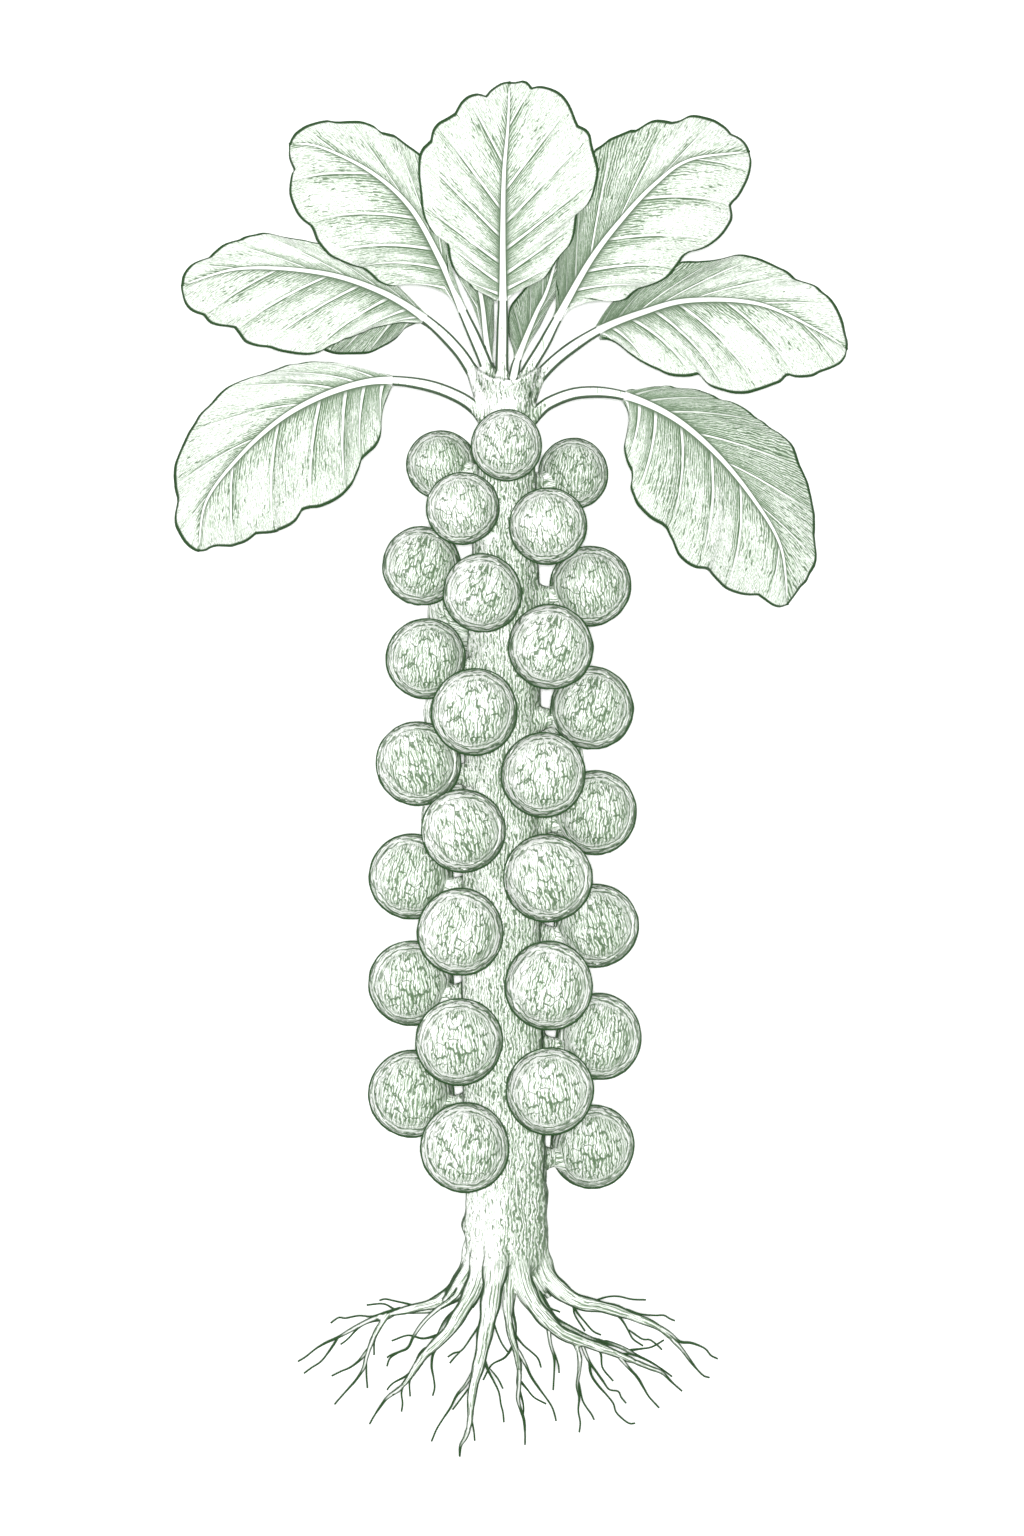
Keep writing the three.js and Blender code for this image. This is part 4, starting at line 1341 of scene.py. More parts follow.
@dataclass
class Leaf:
    """A leaf: a fleshy stalk that runs on as the midrib of a lobed, quilted blade.

    Stalk and midrib are points across, up and towards the front, in millimetres, and the midrib
    goes on from the stalk's last point. Each margin is a list of lobes, as on_grid reads them,
    from the blade's foot to its tip, and two lobes meet in a notch. Every row of the surface runs
    out from the midrib to the margin along a side vein, so that a vein is a ridge on one row.
    The face is the way that the upper side looks. Bend, shade, which is painted shadow near the
    foot, and its reach are given for the left half and then the right.
    """

    name: str
    stalk: list[tuple[float, float, float]]
    midrib: list[tuple[float, float, float]]
    left: list[list[float]]
    right: list[list[float]]
    face: tuple[float, float, float]
    bend: tuple[float, float] = (0.0, 0.0)
    shade: tuple[float, float] = (0.0, 0.0)
    shade_reach: tuple[float, float] = (0.6, 0.6)
    side_veins: int = 7
    row_steps: tuple[float, ...] = (0.0, 0.028, 0.065, 0.125, 0.21, 0.3, 0.385, 0.44, 0.474)
    side_columns: int = 20
    stalk_rows: int = 20
    stalk_size: float = 1.0
    foot_size: float = 4.2
    seed: int = 0
    thickness: float = 0.8
    wave_height: float = 2.0
    waves: int = 4
    lobe_lift: float = 1.5
    quilt: float = 0.9
    ridge: float = 0.5
    ridge_half_width: float = 0.75
    widest_gap: float = 60.0

    def __post_init__(self) -> None:
        """Joins stalk and midrib in one line."""
        self.line = np.array(self.stalk + self.midrib, float)
        self.join = (len(self.stalk) - 1) / (len(self.line) - 1)

    def rib_half_width(self, share: Array, on_stalk: Array) -> Array:
        """The rib's half width, from the blade's foot at share 0 to its tip, and wider down the
        stalk to its foot at on_stalk 1."""
        on_blade = 0.34 + 1.5 * (1 - share) ** 0.95 + 0.35 * np.exp(-share / 0.05)
        return (on_blade * self.stalk_size
                + self.stalk_size * (0.45 * ramp(on_stalk, 0, 0.3) + 0.7 * on_stalk**2))

    def rows(self) -> tuple[Array, Array, Array]:
        """The blade's rows: which vein each is at, its share of the margin and of the midrib.

        Rows crowd at the veins of both halves. The midrib share is 0.6 of the margin share to
        the power 1.5 plus 0.4 of its sixth power, so that the veins sweep towards the tip.
        """
        steps = [0.5 * i + step for i in range(2 * self.side_veins) for step in self.row_steps]
        vein = np.array(steps + [float(self.side_veins)])
        even = vein / self.side_veins
        sway = 0.022 * np.sin(TAU * (1.7 * even + 0.31 * self.seed)) * np.sin(math.pi * even)
        margin = even + sway
        return vein, margin, 0.6 * margin**1.5 + 0.4 * margin**6

    def frames(self, places: Array) -> tuple[Array, Array, Array, Array]:
        """Points of the line with the ways along, left and up there, square to one another."""
        along = tangents(self.line, places)
        left = unit(np.cross(np.array(self.face, float), along))
        return spline(self.line, places), along, left, np.cross(along, left)

    def margin(self, lobes: list[list[float]], foot: Array,
               shares: Array) -> tuple[Array, Array, float]:
        """A half's edge: a spline through each lobe, read at shares of the whole length.

        Its height is that of the nearest point of the midrib, less what the face leans.

        Args:
            lobes: the half's lobes on the measuring grid.
            foot: where the edge leaves the stalk.
            shares: where to read it, from 0 at the foot to 1 at the tip.

        Returns:
            Points, how far through its lobe each is, and the edge's length.
        """
        tip = self.line[-1, :2]
        within = np.linspace(0, 1, 60)
        runs, lobe_of = [], []
        start = foot[:2]
        for i, lobe in enumerate(lobes):
            ends = [tip] if i == len(lobes) - 1 else []
            run = spline(np.vstack([start, on_grid(lobe), *ends]), within)
            first = 0 if i == 0 else 1
            runs.append(run[first:])
            lobe_of.append(i + within[first:])
            start = run[-1]
        path = np.vstack(runs)
        length = lengths_along(path)
        place = np.asarray(shares) * length[-1]
        flat = vectors(*(np.interp(place, length, path[:, axis]) for axis in (0, 1)))
        lobe_place = np.interp(place, length, np.concatenate(lobe_of))
        rib = spline(self.line, np.linspace(self.join, 1, 160))
        nearest = np.linalg.norm(flat[:, None] - rib[None, :, :2], axis=-1).argmin(axis=1)
        lean = (flat - rib[nearest, :2]) @ np.array(self.face[:2]) / self.face[2]
        edge = np.column_stack([flat, rib[nearest, 2] - lean])
        edge[0] = foot
        return edge, lobe_place % 1.0, float(length[-1])

    def surface(self) -> Surface:
        """The whole leaf as rings of its cross section, top side left to right and back."""
        vein, on_margin, on_rib = self.rows()
        down = np.linspace(0, 1, self.stalk_rows, endpoint=False)
        places = np.concatenate([even_places(self.line, 0.0, self.join, down),
                                 even_places(self.line, self.join, 1.0, on_rib)])
        middle, along, left, up = self.frames(places)
        stalk = np.zeros(len(down))
        share = np.concatenate([stalk, on_rib])
        on_stalk = np.concatenate([1 - down, np.zeros(len(vein))])
        rib = self.rib_half_width(share, on_stalk)
        halves = []
        for side, lobes, bend, shade, reach in zip(
                (1, -1), (self.left, self.right), self.bend, self.shade, self.shade_reach):
            inner = middle + side * left * rib[:, None]
            edge, lobe_place, length = self.margin(lobes, inner[len(down)], on_margin)
            halves.append(self.half(HalfRows(
                side, middle, inner, np.vstack([inner[:len(down)], edge]), along, up, rib, share,
                phase=np.concatenate([stalk, vein + (0.0 if side > 0 else 0.5)]),
                edge_share=np.concatenate([stalk, on_margin]),
                lobe=np.concatenate([stalk, lobe_place]),
                length=length, bend=bend, shade=shade, reach=reach)))
        whole = {key: np.concatenate([halves[0][key][:, ::-1], halves[1][key][:, 1:]], axis=1)
                 for key in halves[0]}
        top = whole["place"] + whole["rise"][..., None] * up[:, None]
        underside = whole["place"] - whole["sink"][..., None] * up[:, None]
        values = {}
        for key in ("veins", "blade", "rib"):
            under = whole[key][:, ::-1].copy()
            if key == "rib":
                # Painted shade: the underside gets more strokes.
                under[..., 2] += 0.5
            values[key] = np.concatenate([whole[key], under], axis=1)
        return capped(np.concatenate([top, underside[:, ::-1]], axis=1), values)

    def half(self, rows: HalfRows) -> dict[str, Array]:
        """One half of every ring, from the middle of the rib outwards.

        A row is a curve from the rib's flank to the margin that bows along the rib by bend times
        its length. Over it the blade arches (0.24 of the share out less 0.28 of its square, of
        0.8 of the length), waves towards its edge, lifts in the middle of each lobe, swells
        between veins and has a ridge on each vein.

        Args:
            rows: the half's rows.

        Returns:
            Places, rises and sinks of the two skins, and the finish's values.
        """
        phase, edge_share = rows.phase[:, None], rows.edge_share[:, None]
        out = 1 - (1 - np.linspace(0, 1, self.side_columns + 1)[1:]) ** 1.25
        steps = np.array([0.0, 0.4, 0.75, 1.0])
        f = np.concatenate([np.zeros(len(steps)), out])[None] * np.ones_like(phase)
        wing = np.linalg.norm(rows.outer - rows.inner, axis=1)[:, None]
        bow = (rows.inner + rows.outer) / 2 + rows.along * (rows.bend * wing)
        g = out[None, :, None]
        blade = ((1 - g) ** 2 * rows.inner[:, None] + 2 * g * (1 - g) * bow[:, None]
                 + g**2 * rows.outer[:, None])
        flank_of_rib = rows.middle[:, None] + (rows.inner - rows.middle)[:, None] * steps[:, None]
        place = np.concatenate([flank_of_rib, blade], axis=1)

        body = np.minimum(1.0, wing / 12.0)
        row_step = np.linalg.norm(np.gradient(place, axis=0), axis=2)
        gap = row_step / np.maximum(np.gradient(rows.phase), 1e-6)[:, None]
        gap = np.minimum(gap, self.widest_gap)
        vein_mm = np.abs((phase + 0.5) % 1.0 - 0.5) * gap
        wave = rows.side * self.wave_height * np.sin(TAU * self.waves * edge_share)
        lobe = self.lobe_lift * (np.sin(math.pi * rows.lobe)[:, None] - 0.4)
        quilt = self.quilt * np.abs(np.sin(math.pi * phase)) ** 0.7 * np.sin(math.pi * f) ** 0.7
        fine = 0.3 * crinkle(place[..., 0], place[..., 1], 8.0, self.seed * 5 + 1)
        lift = 0.8 * wing * (0.24 * f - 0.28 * f**2)
        for rise in (wave * f**2, lobe * f**3, quilt, fine * np.minimum(1, 3 * f)):
            lift += rise * body

        across = np.concatenate([steps, np.ones(len(out))])[None]
        dome = np.sqrt(1 - across**2) * (f == 0) * rows.rib[:, None]
        groove = 0.32 * np.exp(-((across / 0.45) ** 2)) * (1 - 0.6 * rows.share[:, None])
        thin = self.thickness / 2 * (1 - 0.6 * f**8)
        ridge = np.exp(-((vein_mm / self.ridge_half_width) ** 2)) * (1 - 0.75 * f)
        ridge = self.ridge * ridge * np.minimum(1, 8 * f) * body
        # Painted shadow over the half near its foot, fading out along the margin.
        dark = rows.shade * ramp(rows.reach - edge_share, 0.0, rows.reach)
        no_blade = wing <= 0.01
        margin_mm = np.where(no_blade, 20.0, (1 - f) * wing)
        return {
            "place": place + rows.up[:, None] * lift[..., None],
            "rise": np.maximum(dome * (0.8 - groove), thin) + ridge,
            "sink": np.maximum(dome, thin) + 0.7 * ridge,
            "veins": vectors(phase, f, gap),
            "blade": vectors(rows.side * f * wing, edge_share * rows.length, margin_mm),
            "rib": vectors(across, np.where((f == 0) | no_blade, 1.0, 0.0), dark),
        }

    def build(self, material: Material) -> bpy.types.Object:
        """Makes the piece in the place of its node."""
        mesh = fill_mesh(self.name + "_blade", self.surface())
        tidy(mesh, 2e-6)
        return finished(self.name + "_blade", mesh, material, (self.name,))


# What the small leaves have in common.
SMALL = {"shade_reach": (2.5, 2.5), "side_veins": 5, "side_columns": 12, "stalk_rows": 14,
         "stalk_size": 0.85, "row_steps": (0.0, 0.03, 0.09, 0.2, 0.32, 0.42, 0.47)}
# The seven large leaves from the centre outwards, then the four small ones behind them.
LEAVES = [
    Leaf("leaf_centre",
      [(-1, 402, 7), (-1.8, 414, 12.5), (-1.6, 429, 20), (-1.4, 444, 26)],
      [(-1.4, 472, 32), (-0.9, 499.5, 33.5), (0.9, 522, 30), (1.6, 542.1, 22)],
      [[494, 304, 488, 299, 480, 294.5, 471, 290],
       [469, 286.5, 462, 282, 456, 277, 452, 270, 449, 260, 448, 251, 446, 243],
       [441, 240.5, 435, 238, 430, 232, 425, 223, 422, 212, 421, 200, 420, 190, 419, 180, 419, 170,
        420, 160, 423, 153, 427, 149, 431, 145],
       [432, 139, 434, 133, 439, 127, 446, 123, 455, 117.5],
       [458, 112, 461, 107, 466, 102, 471, 99, 478, 97, 486, 98],
       [490, 93, 497, 88, 503, 85.8]],
      [[510, 297, 516, 292, 525, 288.5, 535, 285.5, 543, 282, 548, 278],
       [553, 270, 558, 262, 564, 255, 570, 249, 573, 243, 575, 235, 576, 225, 577, 217],
       [582, 214, 587, 209, 591, 203, 594, 195, 597, 183, 598, 174, 596, 165, 593, 155, 591, 146,
        590, 140, 586, 134, 578, 130],
       [575, 123, 572, 114.5, 568, 106, 564, 100, 559, 95.5, 553, 92.5, 546, 90.5, 539, 90,
        532, 92],
       [528, 88, 524, 86.8, 517, 86.6]],
      (0, 0.1, 1), shade=(0.16, 0.18), seed=1),
    Leaf("leaf_upper_left",
      [(-5, 402, 1), (-8.6, 415, 5), (-13.5, 427, 7), (-19.4, 440, 9)],
      [(-29.7, 463.5, 10), (-43.2, 486.9, 9), (-61.2, 503.1, 5), (-83.7, 514.4, -1),
       (-97.8, 516.4, -7)],
      [[447, 286, 440, 282, 432, 280, 422, 281, 410, 284.5, 402, 286, 392, 287, 384, 285.5,
        377, 282, 371, 276, 363, 269.5],
       [353, 267, 345, 264, 337, 260.5],
       [330, 257, 325, 252, 320, 246, 316, 240, 313, 232, 310, 226],
       [306, 223, 301, 219, 297, 214, 294, 208, 291, 200, 289.5, 193, 289.5, 185, 290, 178,
        290.5, 172, 292.5, 168],
       [290, 163, 288, 157, 287.5, 151]],
      [[449, 280, 447, 262, 444, 245, 440, 226, 435, 203, 430, 181, 425, 164, 421, 156, 414, 150,
        407, 145, 400, 139.5, 394, 135],
       [389, 134, 384, 133, 380, 132],
       [375, 127, 369, 124, 362, 121.5, 355, 120.5, 345, 120, 335, 120, 326, 118.5],
       [317, 121, 308, 125, 300, 130, 295, 134, 291, 138]],
      (-0.1, 0.1, 1), bend=(0.13, -0.08), shade=(0.3, 0.68), shade_reach=(0.8, 0.95), seed=2),
    Leaf("leaf_upper_right",
      [(5, 402, 1), (9.6, 413, 4), (17, 425.3, 6.5), (23, 436.5, 9)],
      [(37.8, 462.6, 11), (52.2, 481.5, 10), (67, 497.3, 7), (82.8, 508.5, 1), (109.9, 513, -9)],
      [[559, 296, 556, 280, 558, 260, 565, 235, 574, 205, 583, 176, 594, 152, 602, 146, 609, 140,
        620, 135, 631, 130],
       [636, 130, 641, 127, 650, 121, 657, 119, 665, 119.5, 673, 121],
       [681, 119.5, 688, 116, 694, 115, 703, 116, 714, 118],
       [720, 121, 728, 126, 734, 131],
       [741, 135, 746, 140, 749, 146]],
      [[564, 309, 572, 303, 580, 298.5, 590, 299, 600, 301, 612, 302.5, 622, 302, 628, 300],
       [633, 295, 640, 290, 650, 287, 660, 283, 668, 278, 674, 271, 680, 263, 684, 257,
        691, 252.5],
       [700, 250.5, 710, 246, 720, 238, 727, 229, 732.5, 219, 733, 211, 732, 204],
       [735, 200, 740, 195, 745, 186, 748, 178, 750, 168, 751, 158]],
      (0.1, 0.1, 1), bend=(-0.05, 0.12), shade=(1.35, 0.1), shade_reach=(0.95, 0.4), seed=3),
    Leaf("leaf_middle_left",
      [(-6, 399, -1), (-13.4, 410.5, -2), (-22, 423.5, -5), (-36.4, 437.4, -10)],
      [(-56.7, 450, -14), (-83.7, 458.6, -17), (-119.7, 460.8, -21), (-147.3, 453.6, -28)],
      [[414, 322.5, 404, 322.5, 394, 323, 382, 324.5, 370, 327, 360, 332, 350, 337, 342, 340,
        335, 344, 326, 347, 319, 350.5, 311, 352, 300, 352, 288, 351, 277, 349.5, 268, 346],
       [262, 345.5, 255, 344.5, 247, 341.5, 242, 338, 237, 331, 232, 324.5],
       [225, 324, 219, 324, 213, 323, 207, 320, 201, 312.5],
       [194, 310, 188, 307, 183, 302, 180, 296, 178.5, 289]],
      [[417, 310, 412, 300, 402, 289, 386, 276, 364, 263, 342, 252, 326, 244, 315, 240],
       [309, 238.5, 302, 236.5, 290, 234, 280, 232.5, 270, 230.5, 262, 230, 252, 232, 243, 233.5,
        237, 236],
       [228, 238, 220, 241, 212, 247, 206, 253],
       [198, 257, 190, 262, 184, 269, 180, 275]],
      (0, 0.15, 1), bend=(0.05, -0.08), shade=(0.1, 0.85), shade_reach=(0.3, 0.6), foot_size=6.5,
      seed=4),
    Leaf("leaf_middle_right",
      [(6, 399, -1), (13.2, 409, -2), (24.3, 420.3, -5), (41.4, 432, -10)],
      [(60.3, 440, -13), (82.8, 446, -15), (114.3, 444.6, -18), (141.3, 432.9, -24),
       (154.8, 424.8, -29)],
      [[602, 315, 611, 303, 625, 291, 645, 278, 664, 267, 684, 259.5, 697, 258.5, 710, 257,
        720, 255.5, 730, 253.5, 738, 252, 747, 252.5, 760, 256, 772, 260, 783, 264, 791, 267.5,
        798, 274],
       [803, 277, 813, 281, 820, 284.5, 825, 289.5],
       [831, 294, 836, 300, 842, 309, 846, 317, 849, 329, 851, 338]],
      [[600, 338.5, 608, 338.5, 615, 341, 622, 346, 630, 354, 638, 360, 645, 364, 653, 367,
        660, 369],
       [666, 372, 673, 374, 682, 375, 690, 375, 700, 373],
       [704, 379, 710, 385, 717, 388, 724, 389.5, 732, 391, 740, 391.5, 750, 391, 758, 389,
        767, 386.5, 775, 383.5, 782, 380.5, 786, 376, 790, 372],
       [796, 374, 803, 374.5, 810, 374, 816, 373, 823, 369.5],
       [829, 367.5, 835, 365, 842, 360.5, 847, 354]],
      (0, 0.15, 1), bend=(-0.1, 0.12), shade=(1.45, 0.1), shade_reach=(0.75, 0.3), foot_size=6.5,
      seed=5),
    Leaf("leaf_lower_left",
      [(-5, 387, -2), (-12.5, 395.5, 0), (-20.7, 401.3, 5), (-34.2, 406.3, 11),
       (-50.8, 408.6, 13)],
      [(-65.7, 407.3, 10), (-83.7, 401.4, 7), (-101.7, 391.5, 1), (-119.7, 375.8, -9),
       (-135.5, 355.5, -20), (-139.5, 333, -31)],
      [[391, 391, 387, 402, 384, 412, 382, 424, 381, 432, 379, 440, 375, 447.5, 370, 453,
        362, 461],
       [360, 470, 356, 478, 352, 485.5, 346, 491.5, 340, 497, 332, 502, 324, 506, 318, 508,
        311, 508.5, 302, 510],
       [299, 515, 294, 521, 288, 525, 280, 528.5, 273, 531, 265, 532.5, 254, 533],
       [249, 538, 244, 541, 236, 543.5, 228, 546],
       [222, 546, 215, 546, 208, 547.5, 203, 550]],
      [[385, 375, 375, 373.5, 366, 372, 358, 370.5, 352, 368.5, 344, 366, 335, 364, 325, 363.5,
        315, 362.5, 305, 362.5, 295, 363.5, 285, 364, 274, 368],
       [268, 370.5, 260, 374, 250, 377, 240, 381, 230, 385, 221, 390, 214, 396, 208, 402, 200, 409,
        195, 415, 190, 425, 185, 435, 181, 445, 177, 453, 172, 464, 170, 472, 169, 480, 169, 489,
        172, 499],
       [172, 506, 172, 515, 174, 523, 179, 532, 183, 539, 189, 546, 193, 549.5]],
      (-0.1, 0.15, 1), bend=(0.04, -0.18), shade=(0.45, 0.3), shade_reach=(0.75, 0.5), seed=6),
    Leaf("leaf_lower_right",
      [(5, 386, -2), (12.8, 393.5, 0), (19.8, 399.2, 3), (34, 403.5, 8), (53.1, 401.9, 10)],
      [(74.7, 392.4, 8), (94, 376.7, 2), (111.6, 356, -8), (124.2, 334.8, -19),
       (127.8, 308.9, -31)],
      [[630, 390, 637, 391, 645, 390, 655, 388, 662, 387.5, 670, 385.5],
       [677, 387.5, 688, 388, 697, 389, 705, 392, 714, 396, 720, 400, 730, 402, 740, 406, 750, 411,
        758, 417],
       [766, 421, 773, 427, 781, 432, 790, 440, 795, 447, 798, 456, 801, 464],
       [806, 473, 810, 481, 813, 490, 816, 500, 818, 512, 818, 523, 816.5, 534],
       [817, 545, 818, 555, 817, 564, 813, 573, 810, 581, 804, 588, 798, 595]],
      [[622, 402, 627, 411, 628.5, 420, 627, 430, 625, 440, 623, 450, 625, 460, 628, 467,
        631.5, 472],
       [632, 480, 631, 488, 634, 497, 637, 505, 642, 512, 649, 519, 656, 523, 663, 526, 668, 530],
       [671, 536, 674, 541, 677, 548, 680, 555, 684, 560, 690, 565, 697, 568, 704, 568.5,
        709, 569.5],
       [714, 575, 720, 581, 727, 587, 734, 591, 743, 594, 751, 595, 760, 594.5],
       [765, 598, 772, 602, 779, 604.5, 785, 605]],
      (0.1, 0.15, 1), bend=(-0.1, 0.1), shade=(0.85, 0.3), shade_reach=(1.5, 1.4), seed=7),
    Leaf("leaf_rear_left",
      [(-4, 398, -5), (-11, 409, -11), (-24.0, 426.5, -19), (-38.7, 438.5, -26)],
      [(-56.7, 443.5, -31), (-79.2, 441.5, -36), (-97.2, 436.4, -42)],
      [[404, 326, 399, 330, 393, 336, 385, 343, 373, 348.5, 358, 350.5, 340, 351, 325, 348,
        309, 339, 297, 329]],
      [[418, 312, 415, 304, 410, 296, 403, 288, 392, 280],
       [375, 274, 355, 272, 335, 276, 315, 284, 300, 299, 292, 310]],
      (0, 0, 1), seed=8, shade=(0.7, 0.7), **SMALL),
    Leaf("leaf_rear_right",
      [(4, 398, -5), (11.5, 408, -11), (25.6, 422.6, -19), (42.3, 433.6, -26)],
      [(60.3, 443.5, -31), (78.3, 450.3, -36), (94, 453.4, -41)],
      [[601, 318, 603, 312, 608, 306, 617, 298, 630, 285, 648, 271, 668, 262, 688, 259, 705, 265,
        713, 273]],
      [[612, 328, 628, 330, 650, 326, 672, 318, 692, 306, 706, 295]],
      (0, 0, 1), seed=9, shade=(0.5, 0.5), **SMALL),
    Leaf("leaf_inner_left",
      [(-2, 404, -4), (-4, 409, -5), (-5.8, 413, -6), (-7.4, 417.2, -7)],
      [(-9.3, 431, -10), (-11, 446, -13), (-15.3, 465.8, -18), (-21, 489, -25)],
      [[487, 350, 483, 335, 481, 318, 477, 299, 466, 285, 450, 262, 441, 235, 447, 208]],
      [[492, 350, 494, 335, 494, 317, 494, 300, 497, 280, 496, 250, 484, 222, 470, 206]],
      (0, 0, 1), seed=10, shade=(0.5, 1.1), **SMALL),
    Leaf("leaf_inner_right",
      [(2, 404, -4), (3, 409, -5), (4, 414, -6), (5.2, 419, -7)],
      [(9.4, 430, -10), (14, 441, -13), (19, 452, -17), (25.2, 474.8, -24)],
      [[514, 353, 510, 338, 508, 322, 509, 308, 515, 297, 527, 284, 540, 262, 551, 240]],
      [[523, 353, 531, 340, 539, 327, 547, 311, 557, 292, 567, 268, 571, 246]],
      (0, 0, 1), seed=11, shade=(1.0, 0.7), **SMALL),
]


# ------------------------ roots


@dataclass
class Root:
    """One root: its width at both ends in grid squares, its route from where it leaves its
    parent, as on_grid reads it, and its heights over the stem's axis in millimetres, evenly
    spaced.

    A root with no heights is a side root: it starts at its parent's height and droops by a share
    of its length. Its parent's name is its own without the last letter.
    """

    name: str
    widths: tuple[float, float]
    route: list[float]
    heights: tuple[float, ...] = ()
    droop: float = 0.12

    @property
    def parent(self) -> str:
        """The name of the root that a side root leaves."""
        return self.name.rpartition("_")[0]


